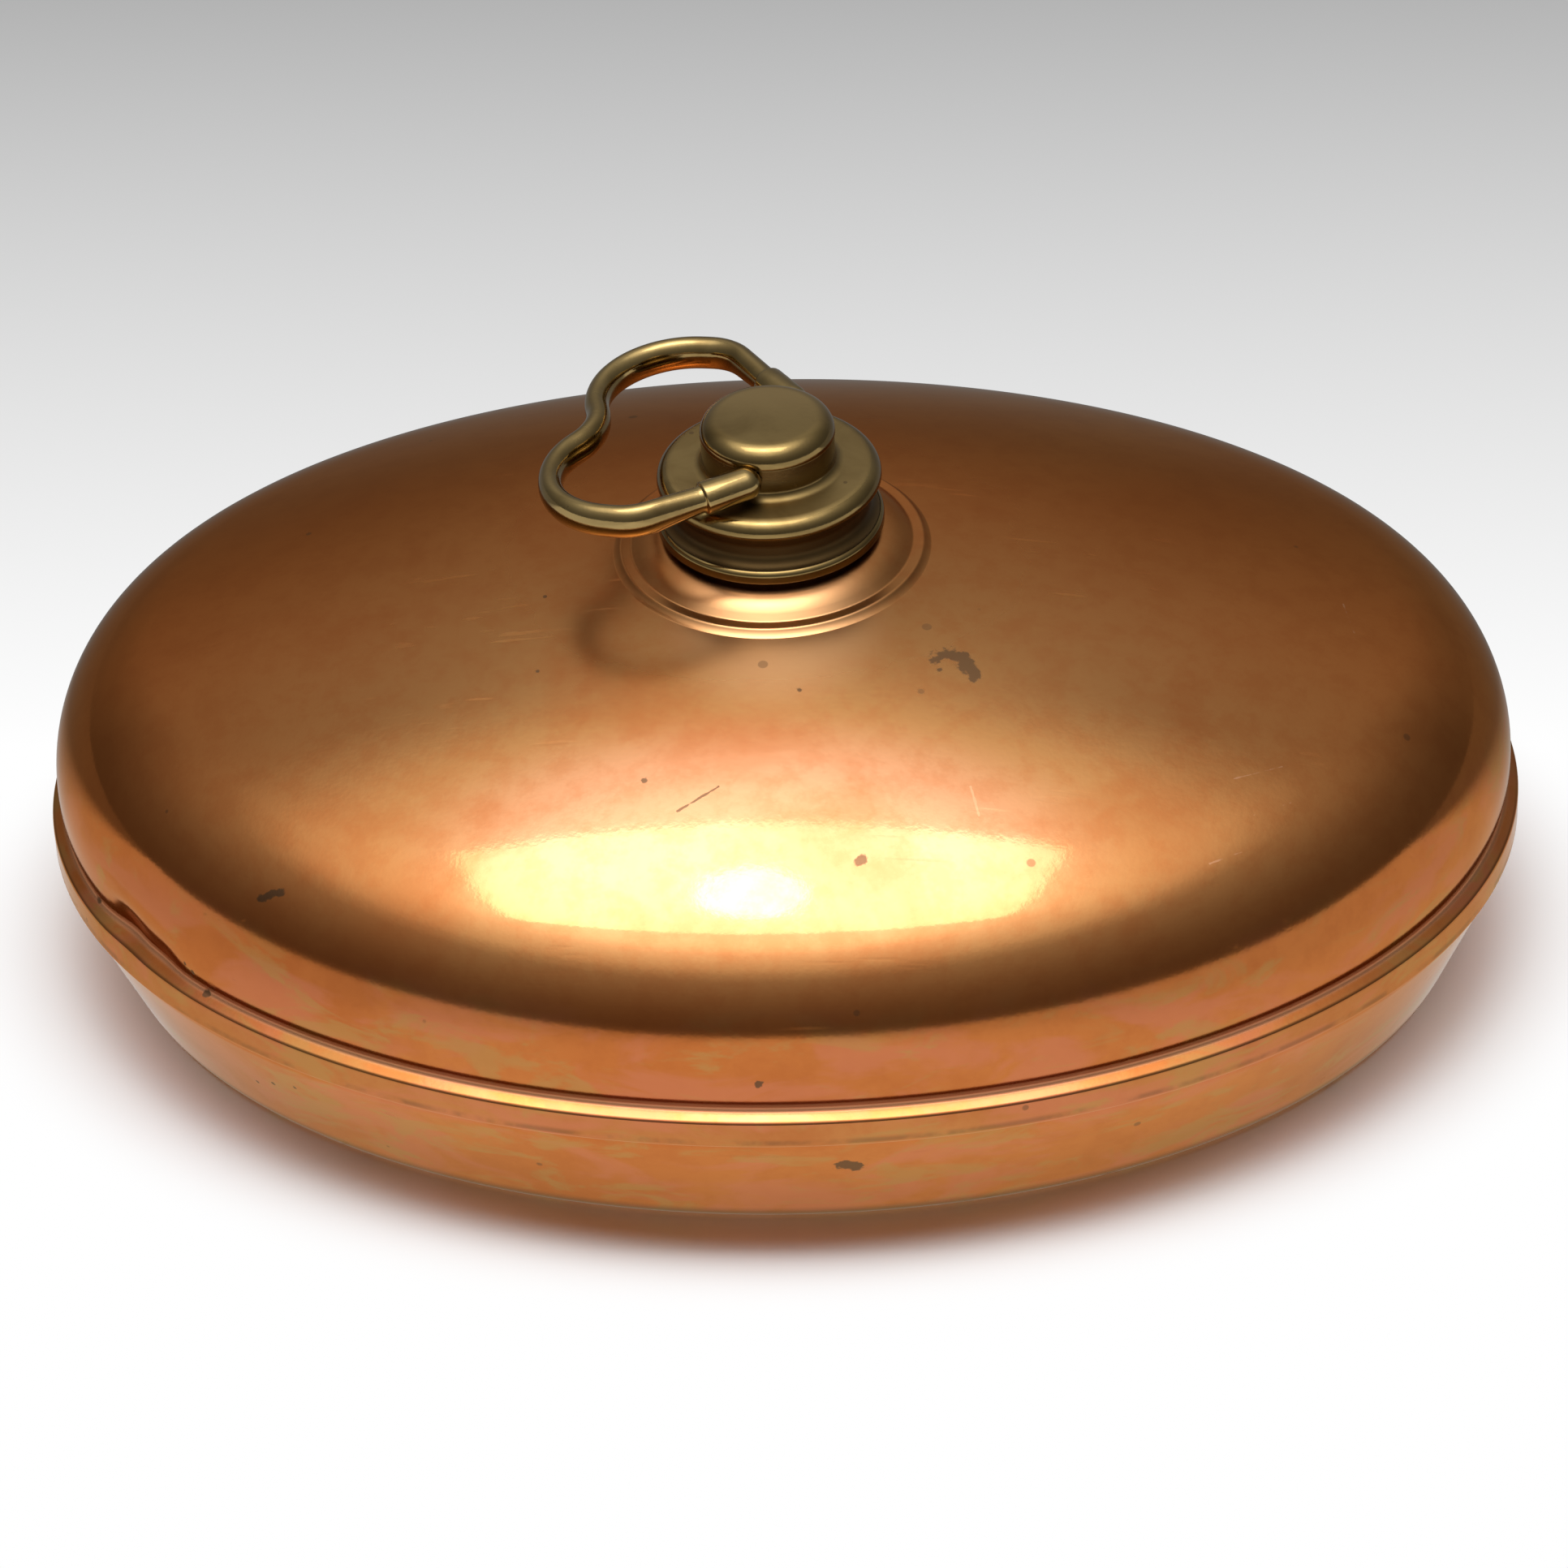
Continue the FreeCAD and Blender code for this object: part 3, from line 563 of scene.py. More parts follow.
def make_solder():
    """Dull soft solder, cloudy and slightly lumpy."""
    material, tree, shader, place = new_material("soft_solder")
    smudges = use_group(tree, handling_marks, {"Place": place, "Scale": 3.0})["Smudges"]
    tree.links.new(mixed(tree, smudges, SOLDER_DULL, SOLDER_GREY), shader.inputs["Base Color"])
    tree.links.new(ramp(tree, smudges, 0.3, 0.7, 0.4, 0.6), shader.inputs["Roughness"])
    shader.inputs["Metallic"].default_value = 1.0
    add_relief(tree, shader, smudges, 0.3, 0.0005)
    return material


soft_solder = make_solder()
for node in ("seam_solder", "neck_solder"):
    for material_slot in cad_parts[node].material_slots:
        material_slot.material = soft_solder

# Filler neck: turned from brass, set through the boss and soldered under it. A seat rests on the boss under a
# rounded collar, a waist runs up to the rim that the washer seals on, and a coarse screw thread is cut in the
# bore. The brass has gone olive-brown.
BORE_RADIUS = 15.3
TUBE_RADIUS = 18.9
TUBE_END = BOSS_HEIGHT - 6.5
SEAT_RADIUS = 20.0
COLLAR_RADIUS = 22.6
COLLAR_START = BOSS_HEIGHT + 1.4
COLLAR_END = COLLAR_START + 2.6
COLLAR_SHOULDER = 0.6
WAIST_RADIUS = 19.8
WAIST_ROUNDING = 2.4
NECK_RIM_RADIUS = 20.7
NECK_RIM_FLARE = 2.8
NECK_LEAD_IN = 0.8
NECK_TOP = BOSS_HEIGHT + 11.3
THREAD_PITCH = 3.0
THREAD_DEPTH = 0.5
TURNED_SIDES = 160
BRASS_OLIVE = (0.33, 0.225, 0.085, 1)
BRASS_BROWN = (0.20, 0.125, 0.042, 1)
BRASS_TARNISH = (0.085, 0.048, 0.018, 1)
# Lighter brass over the back half of the knob's top is a painted sheen.
BRASS_PAINTED_SHEEN = (0.60, 0.41, 0.17, 1)
# Bands of heights of the tarnished recesses and of the flange's satin top.
RECESSES = [
    ((100.5, 100.65), (106.6, 107.4), 0.9),
    ((112.1, 113.8), (118.4, 118.6), 0.5),
    ((90.0, 96.5), (97.8, 98.1), 0.9),
]
SATIN_FLANGE = ((111.3, 111.6), (112.2, 114.0), 0.42)


def make_thread_tree():
    """Cuts a right-hand screw thread in a stretch of a turned wall, in and out about its radius."""
    sizes = {name: "Float" for name in ("Pitch", "Depth", "Wall", "Low", "High")}
    tree, given = new_tree("screw_thread", **sizes, Metal="Material")
    place = tree.nodes.new("GeometryNodeInputPosition").outputs[0]
    x, y, z = add_node(tree, "ShaderNodeSeparateXYZ", {0: place}).outputs
    flat = add_node(tree, "ShaderNodeCombineXYZ", {0: x, 1: y}).outputs[0]
    outward = vector_calc(tree, "NORMALIZE", flat)
    radius = vector_calc(tree, "DOT_PRODUCT", flat, outward)
    on_wall = calc(tree, "COMPARE", radius, given["Wall"], 1e-5)
    from_low = calc(tree, "SUBTRACT", z, given["Low"])
    nearest_end = calc(tree, "MINIMUM", from_low, calc(tree, "SUBTRACT", given["High"], z))
    run_out = calc(tree, "DIVIDE", calc(tree, "MULTIPLY", nearest_end, 2.0), given["Pitch"], clamp=True)
    turn = calc(tree, "DIVIDE", calc(tree, "ARCTAN2", y, x), 2 * math.pi)
    phase = calc(tree, "FRACT", calc(tree, "SUBTRACT", calc(tree, "DIVIDE", z, given["Pitch"]), turn))
    saw = calc(tree, "ABSOLUTE", calc(tree, "MULTIPLY_ADD", phase, 2.0, -1.0))
    flank = calc(tree, "MULTIPLY_ADD", saw, 3.2, -1.6)
    ridge = calc(tree, "MAXIMUM", calc(tree, "MINIMUM", flank, 1.0), -1.0)
    rise = calc(tree, "MULTIPLY", ridge, given["Depth"])
    rise = calc(tree, "MULTIPLY", rise, calc(tree, "MULTIPLY", on_wall, run_out))
    offset = vector_calc(tree, "MULTIPLY", outward, rise)
    cut = add_node(tree, "GeometryNodeSetPosition", {"Geometry": given["Geometry"], "Offset": offset})
    return end_tree(tree, cut.outputs[0], given["Metal"])


def turned(name, section, metal):
    """Turned piece through a section of (radius, height) points."""
    return swept(name, [(radius, radius, height) for radius, height in section], TURNED_SIDES, metal)


def thread_run(radius, start, end):
    """Close points along the wall that a thread is cut in."""
    steps = round(abs(end - start) / 0.2)
    return [(radius, start + (end - start) * i / steps) for i in range(steps + 1)]


def threaded(mesh, radius, low, high, metal):
    """Turned piece with a thread cut in its wall between two heights."""
    name = mesh.name
    mesh = grown(mesh, screw_thread, Pitch=THREAD_PITCH * MM, Depth=THREAD_DEPTH * MM, Wall=radius * MM,
                 Low=low * MM, High=high * MM, Metal=metal)
    mesh.name = name
    return mesh


def make_brass(name, light, dark, smooth, rough, scale, recessed):
    """Old brass, cloudy with tarnish, and on the stopper's knob lighter over the back of its top, a painted
    sheen.
    """
    material, tree, shader, place = new_material(name)
    marks = use_group(tree, handling_marks, {"Place": place, "Scale": scale})
    cloud = ramp(tree, noise(tree, place, 60.0, 4.0, 0.6, 0.5), 0.35, 0.7, 0.0, 0.7)
    tone = mixed(tree, cloud, light, dark)
    _, back, height = add_node(tree, "ShaderNodeSeparateXYZ", {0: place}).outputs
    satin = 0.0
    if recessed:
        for recess in RECESSES:
            tarnish = band(tree, height, *recess)
            tone = mixed(tree, tarnish, tone, BRASS_TARNISH)
            satin = calc(tree, "MAXIMUM", satin, calc(tree, "MULTIPLY", tarnish, 0.5))
        # Lighter brass over the back half of the knob's top is a painted sheen.
        knob_painted_sheen = ramp(tree, back, -0.006, 0.010, 0.0, 0.9)
        knob_painted_sheen = calc(tree, "MULTIPLY", knob_painted_sheen, ramp(tree, height, 0.1212, 0.1230))
        tone = mixed(tree, knob_painted_sheen, tone, BRASS_PAINTED_SHEEN)
        satin = calc(tree, "MAXIMUM", satin, band(tree, height, *SATIN_FLANGE))
    tone = mixed(tree, calc(tree, "MULTIPLY", marks["Specks"], 0.6), tone, STAIN_AND_SHADE_BROWN)
    tree.links.new(tone, shader.inputs["Base Color"])
    dull = ramp(tree, marks["Smudges"], 0.3, 0.72, smooth, rough)
    dull = calc(tree, "MULTIPLY", dull, ramp(tree, height, 0.1180, 0.1188, 1.0, 0.7))
    dull = calc(tree, "MAXIMUM", dull, satin)
    dull = calc(tree, "MULTIPLY_ADD", marks["Scratches"], 0.15, dull)
    tree.links.new(dull, shader.inputs["Roughness"])
    shader.inputs["Metallic"].default_value = 1.0
    fine = calc(tree, "MULTIPLY_ADD", marks["Scratches"], -0.8, noise(tree, place, 1100.0, 2.0))
    add_relief(tree, shader, fine, 0.05, 0.0002)
    return material


screw_thread = make_thread_tree()
aged_brass = make_brass("aged_brass", BRASS_OLIVE, BRASS_BROWN, 0.11, 0.2, 2.0, True)
neck_section = softened([
    (BORE_RADIUS, TUBE_END, 0),
    (TUBE_RADIUS, TUBE_END, 0.4),
    (TUBE_RADIUS, BOSS_HEIGHT, 0.05),
    (SEAT_RADIUS, BOSS_HEIGHT, 0.15),
    (SEAT_RADIUS, COLLAR_START, 0.15),
    (COLLAR_RADIUS, COLLAR_START, 0.4),
    (COLLAR_RADIUS, COLLAR_END, 1.3),
    (WAIST_RADIUS, COLLAR_END + COLLAR_SHOULDER, WAIST_ROUNDING),
    (WAIST_RADIUS, NECK_TOP - NECK_RIM_FLARE, WAIST_ROUNDING),
    (NECK_RIM_RADIUS, NECK_TOP, 0.4),
    (BORE_RADIUS + NECK_LEAD_IN, NECK_TOP, 0.2),
    (BORE_RADIUS, NECK_TOP - NECK_LEAD_IN, 0),
]) + thread_run(BORE_RADIUS, NECK_TOP - 1, TUBE_END)
neck = turned("filler_neck_brass", neck_section, aged_brass)
neck = threaded(neck, BORE_RADIUS, TUBE_END + 0.2, NECK_TOP - 1, aged_brass)
add_piece(neck, "bottle", "filler_neck")

# Stopper washer: cut from oiled leather, it sits in the recess under the stopper's flange and seals on the
# neck's rim. It is pressed flat and dark from use.
WASHER_INNER = 15.3
WASHER_OUTER = 20.2
WASHER_TOP = NECK_TOP + 2.0
WASHER_MIDDLE = (NECK_TOP + WASHER_TOP) / 2
WASHER_ROUNDING = 0.3
LEATHER_DARK = (0.045, 0.024, 0.013, 1)
LEATHER_BROWN = (0.115, 0.062, 0.032, 1)


def make_leather():
    """Oiled leather with a fine grain and paler worn patches."""
    material, tree, shader, place = new_material("oiled_leather")
    smudges = use_group(tree, handling_marks, {"Place": place, "Scale": 4.0})["Smudges"]
    grain = add_node(tree, "ShaderNodeTexVoronoi", {"Vector": place, "Scale": 1500.0}).outputs["Distance"]
    tree.links.new(mixed(tree, smudges, LEATHER_DARK, LEATHER_BROWN), shader.inputs["Base Color"])
    tree.links.new(ramp(tree, smudges, 0.3, 0.7, 0.5, 0.75), shader.inputs["Roughness"])
    add_relief(tree, shader, grain, 0.4, 0.0003)
    return material


oiled_leather = make_leather()
washer_section = softened([
    (WASHER_INNER, WASHER_MIDDLE, 0),
    (WASHER_INNER, NECK_TOP, WASHER_ROUNDING),
    (WASHER_OUTER, NECK_TOP, WASHER_ROUNDING),
    (WASHER_OUTER, WASHER_TOP, WASHER_ROUNDING),
    (WASHER_INNER, WASHER_TOP, WASHER_ROUNDING),
    (WASHER_INNER, WASHER_MIDDLE, 0),
])
washer = turned("leather_washer", washer_section, oiled_leather)
add_piece(washer, "washer", "stopper_washer")

# Stopper: turned from brass, with a shank that screws into the neck, a flange with a recess for the washer
# and a stem that is cross-drilled for the bail's pins. Years of hands have kept its edges brighter.
SHANK_RADIUS = 15.0
SHANK_END = 96.5
SHANK_CHAMFER = 1.2
RECESS_RADIUS = 20.5
FLANGE_BOTTOM = WASHER_TOP - 1.4
FLANGE_TOP = FLANGE_BOTTOM + 3.2
FLANGE_RADIUS = 22.3
FLANGE_ROUNDING = 3.0
STEM_RADIUS = 13.2
STEM_TOP = FLANGE_TOP + 7.0
STEM_FILLET = 1.9
SOCKET_RADIUS = 5.55
SOCKET_END = STEM_TOP - 4.1
PIVOT_HEIGHT = FLANGE_TOP + 4.9
PIN_HOLE_RADIUS = 1.65
PIN_HOLE_START = 6.7
PIN_HOLE_END = 14.0
BAIL_TURN = math.radians(15)
BAIL_ALONG = Vector((math.sin(BAIL_TURN), math.cos(BAIL_TURN), 0))


def drilled(mesh, radius, start, end):
    """Mesh with two blind holes across it on the bail's pivot."""
    drill = bmesh.new()
    middle = Vector((0, 0, PIVOT_HEIGHT * MM))
    lie = Vector((0, 0, 1)).rotation_difference(BAIL_ALONG).to_matrix().to_4x4()
    for side in (-1, 1):
        place = Matrix.Translation(middle + BAIL_ALONG * (side * (start + end) / 2 * MM)) @ lie
        bmesh.ops.create_cone(drill, cap_ends=True, segments=32, radius1=radius * MM, radius2=radius * MM,
                              depth=(end - start) * MM, matrix=place)
    bits = bpy.data.meshes.new("drill")
    drill.to_mesh(bits)
    drill.free()
    tool = bpy.data.objects.new("drill", bits)
    blank = bpy.data.objects.new("blank", mesh)
    for thing in (tool, blank):
        bpy.context.scene.collection.objects.link(thing)
    cut = blank.modifiers.new("holes", "BOOLEAN")
    cut.operation = "DIFFERENCE"
    cut.object = tool
    made = bpy.data.meshes.new_from_object(blank.evaluated_get(bpy.context.evaluated_depsgraph_get()))
    made.name = mesh.name
    for thing in (tool, blank):
        bpy.data.objects.remove(thing)
    made.shade_smooth()
    made.set_sharp_from_angle(angle=math.radians(50))
    return made


stopper_section = [(0, SHANK_END), (SHANK_RADIUS - SHANK_CHAMFER, SHANK_END)]
stopper_section += thread_run(SHANK_RADIUS, SHANK_END + SHANK_CHAMFER, WASHER_TOP - 0.1)
stopper_section += softened([
    (SHANK_RADIUS, WASHER_TOP, 0),
    (RECESS_RADIUS, WASHER_TOP, 0.1),
    (RECESS_RADIUS, FLANGE_BOTTOM, 0.2),
    (FLANGE_RADIUS, FLANGE_BOTTOM, 0.2),
    (FLANGE_RADIUS, FLANGE_TOP, FLANGE_ROUNDING),
    (STEM_RADIUS, FLANGE_TOP + 0.3, STEM_FILLET),
    (STEM_RADIUS, STEM_TOP, 0.2),
    (SOCKET_RADIUS, STEM_TOP, 0.1),
    (SOCKET_RADIUS, SOCKET_END, 0.1),
    (0, SOCKET_END, 0),
])
stopper = turned("stopper_brass", stopper_section, aged_brass)
stopper = threaded(stopper, SHANK_RADIUS, SHANK_END + SHANK_CHAMFER, WASHER_TOP - 2.2, aged_brass)
stopper = drilled(stopper, PIN_HOLE_RADIUS, PIN_HOLE_START, PIN_HOLE_END)
add_piece(stopper, "stopper", "stopper_body")

# Knob: a domed brass button with a spigot that is pressed into the top of the stem, with a fine joint line
# under its edge. Its plain face is satin.
KNOB_RADIUS = 13.4
KNOB_RIM_TOP = STEM_TOP + 0.4
KNOB_RISE = 4.2
KNOB_EDGE_RADIUS = 3.9
SPIGOT_RADIUS = 5.5
SPIGOT_END = STEM_TOP - 3.6
EDGE_STEPS = 14
CROWN_STEPS = 24

edge_centre = KNOB_RADIUS - KNOB_EDGE_RADIUS
crown_radius = (edge_centre**2 + KNOB_RISE**2 - KNOB_EDGE_RADIUS**2) / (2 * (KNOB_RISE - KNOB_EDGE_RADIUS))
crown_centre = KNOB_RIM_TOP + KNOB_RISE - crown_radius
crown_lean = math.atan2(edge_centre, KNOB_RIM_TOP - crown_centre)
knob_section = [(0, SPIGOT_END)] + softened([
    (SPIGOT_RADIUS - 1, SPIGOT_END, 0),
    (SPIGOT_RADIUS, SPIGOT_END, 0.2),
    (SPIGOT_RADIUS, STEM_TOP, 0.05),
    (KNOB_RADIUS, STEM_TOP, 0.15),
    (KNOB_RADIUS, KNOB_RIM_TOP, 0),
])
for step in range(1, EDGE_STEPS + 1):
    angle = (math.pi / 2 - crown_lean) * step / EDGE_STEPS
    radius = edge_centre + KNOB_EDGE_RADIUS * math.cos(angle)
    knob_section.append((radius, KNOB_RIM_TOP + KNOB_EDGE_RADIUS * math.sin(angle)))
for step in range(1, CROWN_STEPS + 1):
    angle = crown_lean * (1 - step / CROWN_STEPS)
    knob_section.append((crown_radius * math.sin(angle), crown_centre + crown_radius * math.cos(angle)))
add_piece(turned("knob_button", knob_section, aged_brass), "stopper", "knob_cap")

# Bail handle: brass wire bent to a heart-shaped loop, deeper than wide away from its ends, with thicker round
# knuckles that carry the pins. The pins turn in the stem, and hands have kept the wire golden.
BAIL_DROOP = math.radians(5.5)
PIN_RADIUS = 1.6
PIN_INNER_END = 7.0
BALL_CENTRE = 15.2
KNUCKLE_RADIUS = 3.4
KNUCKLE_LENGTH = 9.0
STEM_ROOM = 13.55
WIRE_HALF_WIDTH = 2.45
WIRE_DEPTH_RATIO = 7.0 / 4.9
WIRE_END_HALF_WIDTH = 2.55
WIRE_END_DEPTH_RATIO = 5.6 / 5.1
WIRE_START = KNUCKLE_LENGTH + 1.0
# The knuckle's rounded edge as (distance past its length, half width, depth ratio).
KNUCKLE_EDGE = [
    (-0.5, KNUCKLE_RADIUS, 1.0), (-0.25, 3.36, 1.0), (-0.08, 3.24, 1.0), (0.0, 3.0, 1.02), (0.06, 2.7, 1.06),
    (0.25, WIRE_END_HALF_WIDTH, WIRE_END_DEPTH_RATIO),
]
BAIL_HALF_WIDTH = 30.9
BAIL_WIDEST_AT = 21.4
BEND_RADIUS = 10.5
FLANK_RADIUS = 40.0
FLANK_ANGLE = math.radians(4.5)
LOBE_RADIUS = 16.6
NOTCH_RADIUS = 14.0
WIRE_SIDES = 32
BAIL_GOLD = (0.44, 0.31, 0.125, 1)
BAIL_SHADE = (0.30, 0.195, 0.07, 1)


def bail_arcs():
    """Arcs of half the loop as (centre, radius, start, end), from the straight run to the notch."""
    bend = Vector((BAIL_HALF_WIDTH - BEND_RADIUS, BAIL_WIDEST_AT))
    to_ball = Vector((BALL_CENTRE, 0)) - bend
    bend_start = math.atan2(to_ball.y, to_ball.x) + math.acos(BEND_RADIUS / to_ball.length)
    flank = Vector((BAIL_HALF_WIDTH - FLANK_RADIUS, BAIL_WIDEST_AT))
    lobe = flank + Vector((math.cos(FLANK_ANGLE), math.sin(FLANK_ANGLE))) * (FLANK_RADIUS - LOBE_RADIUS)
    notch = Vector((0, lobe.y + math.sqrt((LOBE_RADIUS + NOTCH_RADIUS) ** 2 - lobe.x**2)))
    lobe_end = math.atan2(notch.y - lobe.y, -lobe.x)
    return [
        (bend, BEND_RADIUS, bend_start, 0),
        (flank, FLANK_RADIUS, 0, FLANK_ANGLE),
        (lobe, LOBE_RADIUS, FLANK_ANGLE, lobe_end),
        (notch, NOTCH_RADIUS, lobe_end - math.pi, -math.pi / 2),
    ]


def arc_points(centre, radius, start, end):
    """Points on an arc, about a millimetre apart."""
    steps = max(2, math.ceil(abs(end - start) * radius))
    angles = [start + (end - start) * i / steps for i in range(steps + 1)]
    return [centre + Vector((math.cos(a), math.sin(a))) * radius for a in angles]


def bail_half():
    """Half the wire as (point, half width, depth ratio), from its round end to the middle of the notch."""
    loop = [point for bow in bail_arcs() for point in arc_points(*bow)]
    ball = Vector((BALL_CENTRE, 0))
    run = (loop[0] - ball).normalized()
    run_length = (loop[0] - ball).length
    wire = []
    for step in range(1, 9):
        angle = math.pi / 2 * step / 9
        wire.append((ball - run * (KNUCKLE_RADIUS * math.cos(angle)), KNUCKLE_RADIUS * math.sin(angle), 1.0))
    wire += [(ball + run * out, KNUCKLE_RADIUS, 1.0) for out in (0.0, 5.0)]
    wire += [(ball + run * (KNUCKLE_LENGTH + past), half, ratio) for past, half, ratio in KNUCKLE_EDGE]
    steps = round(run_length - WIRE_START)
    for i in range(steps):
        share = i / steps
        half = WIRE_END_HALF_WIDTH + (WIRE_HALF_WIDTH - WIRE_END_HALF_WIDTH) * share
        ratio = WIRE_END_DEPTH_RATIO + (WIRE_DEPTH_RATIO - WIRE_END_DEPTH_RATIO) * share
        wire.append((ball + run * (WIRE_START + (run_length - WIRE_START) * share), half, ratio))
    last = None
    for point in loop:
        if last is None or (point - last).length > 0.01:
            wire.append((point, WIRE_HALF_WIDTH, WIRE_DEPTH_RATIO))
        last = point
    return wire


def make_wire_tree():
    """Draws a wire along a path whose points have their own half width, stretched across the loop's plane."""
    tree, given = new_tree("bail_wire", Pivot="Vector", Normal="Vector", Sides="Int", Metal="Material")
    width, ratio = [
        add_node(tree, "GeometryNodeInputNamedAttribute", {"Name": name}, data_type="FLOAT").outputs[0]
        for name in ("half_width", "depth_ratio")
    ]
    path = add_node(tree, "GeometryNodeMeshToCurve", {"Mesh": given["Geometry"]})
    ring = add_node(tree, "GeometryNodeCurvePrimitiveCircle", {"Resolution": given["Sides"], "Radius": 1.0})
    inputs = {"Curve": path.outputs[0], "Profile Curve": ring.outputs[0], "Scale": width, "Fill Caps": True}
    round_wire = add_node(tree, "GeometryNodeCurveToMesh", inputs)
    place = tree.nodes.new("GeometryNodeInputPosition").outputs[0]
    away = vector_calc(tree, "SUBTRACT", place, given["Pivot"])
    height = vector_calc(tree, "DOT_PRODUCT", away, given["Normal"])
    more = calc(tree, "MULTIPLY", height, calc(tree, "SUBTRACT", ratio, 1.0))
    offset = vector_calc(tree, "MULTIPLY", given["Normal"], more)
    inputs = {"Geometry": round_wire.outputs[0], "Offset": offset}
    deep_wire = add_node(tree, "GeometryNodeSetPosition", inputs)
    return end_tree(tree, deep_wire.outputs[0], given["Metal"])


bail_brass = make_brass("bail_brass", BAIL_GOLD, BAIL_SHADE, 0.10, 0.17, 2.5, False)
pivot = Vector((0, 0, PIVOT_HEIGHT))
level = Vector((0, 0, 1)).cross(BAIL_ALONG)
reach = level * math.cos(BAIL_DROOP) - Vector((0, 0, math.sin(BAIL_DROOP)))
half_wire = bail_half()
wire = half_wire + [(Vector((-point.x, point.y)), half, ratio) for point, half, ratio in half_wire[-2::-1]]
runs = [wire]
for side in (-1, 1):
    pin = ((PIN_INNER_END, PIN_RADIUS - 0.3), (PIN_INNER_END + 0.3, PIN_RADIUS), (BALL_CENTRE, PIN_RADIUS))
    runs.append([(Vector((side * out, 0)), half, 1.0) for out, half in pin])
points = [point for run in runs for point in run]
edges = []
for run in runs:
    start = edges[-1][1] + 1 if edges else 0
    edges += [(start + i, start + i + 1) for i in range(len(run) - 1)]
path = bpy.data.meshes.new("bail_wire")
places = [(pivot + BAIL_ALONG * point.x + reach * point.y) * MM for point, half, ratio in points]
path.from_pydata(places, edges, [])
for name, values in (("half_width", [half * MM for point, half, ratio in points]),
                     ("depth_ratio", [ratio for point, half, ratio in points])):
    path.attributes.new(name, "FLOAT", "POINT").data.foreach_set("value", values)
bail = grown(path, make_wire_tree(), Pivot=pivot * MM, Normal=BAIL_ALONG.cross(reach), Sides=WIRE_SIDES,
             Metal=bail_brass)
bail.name = "bail_wire"
for vert in bail.vertices:
    from_stem = vert.co.xy.length
    from_pin = (vert.co - pivot * MM).cross(BAIL_ALONG).length
    if from_stem < STEM_ROOM * MM and from_pin > (PIN_RADIUS + 0.01) * MM:
        vert.co.xy *= STEM_ROOM * MM / from_stem
add_piece(bail, "bail", "bail_handle")

# Studio: a plain pale table whose colour gets greyer towards the back, which is painted shade, a softbox
# overhead with a bright middle, a wide lamp that the metal doesn't show, a surround that only the metal
# shows, and the camera at the photograph's viewing angle.
TABLE_HALF = 6.0
TABLE_GAP = 0.0002
# The grey colours are painted shade. The table gets greyer towards the back, and as the metal sees it, darker
# behind, at the sides and round the foot.
TABLE_PALE = (0.95, 0.95, 0.95, 1)
TABLE_PAINTED_SHADE = (0.21, 0.21, 0.21, 1)
TABLE_WHITE = (1, 1, 1, 1)
TABLE_FAR_PAINTED_SHADE = (0.20, 0.20, 0.20, 1)
TABLE_IN_METAL = (0.94, 0.94, 0.94, 1)
TABLE_SHADE_IN_METAL = (0.20, 0.20, 0.20, 1)
TABLE_THROWN_BACK = 2.4
BEYOND_TABLE = (0.30, 0.30, 0.30, 1)
ROOM = (0.03, 0.03, 0.03, 1)
FOOT_HALF_LENGTH = BODY_HALF_LENGTH - BASE_INSET
FOOT_HALF_WIDTH = BODY_HALF_WIDTH - BASE_INSET
SOFTBOX_LENGTH = 0.90
SOFTBOX_WIDTH = 0.45
SOFTBOX_PLACE = Vector((-0.08, -0.153, 1.3))
SOFTBOX_WATTS = 2.1
BULB_SIZE = 0.16
BULB_WATTS = 0.26
BULB_PLACE = SOFTBOX_PLACE - Vector((0, 0, 0.01))
SPILL_LENGTH = 2.4
SPILL_WIDTH = 0.6
SPILL_PLACE = Vector((-0.02, 0.03, 1.3))
SPILL_WATTS = 23.5
# Brightness of the surround by the cosine of the angle away from the softbox.
SURROUND = [
    (0.0, 0.12), (0.21, 0.145), (0.407, 0.20), (0.5, 0.25), (0.588, 0.31), (0.682, 0.41), (0.743, 0.50),
    (0.799, 0.75), (0.839, 1.08), (0.883, 1.4), (0.927, 1.85), (0.961, 2.7), (0.982, 3.0), (1.0, 3.0),
]
BEHIND_GAIN = 1.6
CAMERA_TURN = math.radians(4.02)
CAMERA_RISE = math.radians(36.71)
CAMERA_ROLL = math.radians(-2.54)
CAMERA_AWAY = 1.38145
CAMERA_AIM = (0.00023, 0.03237)
CAMERA_LENS = 155.1


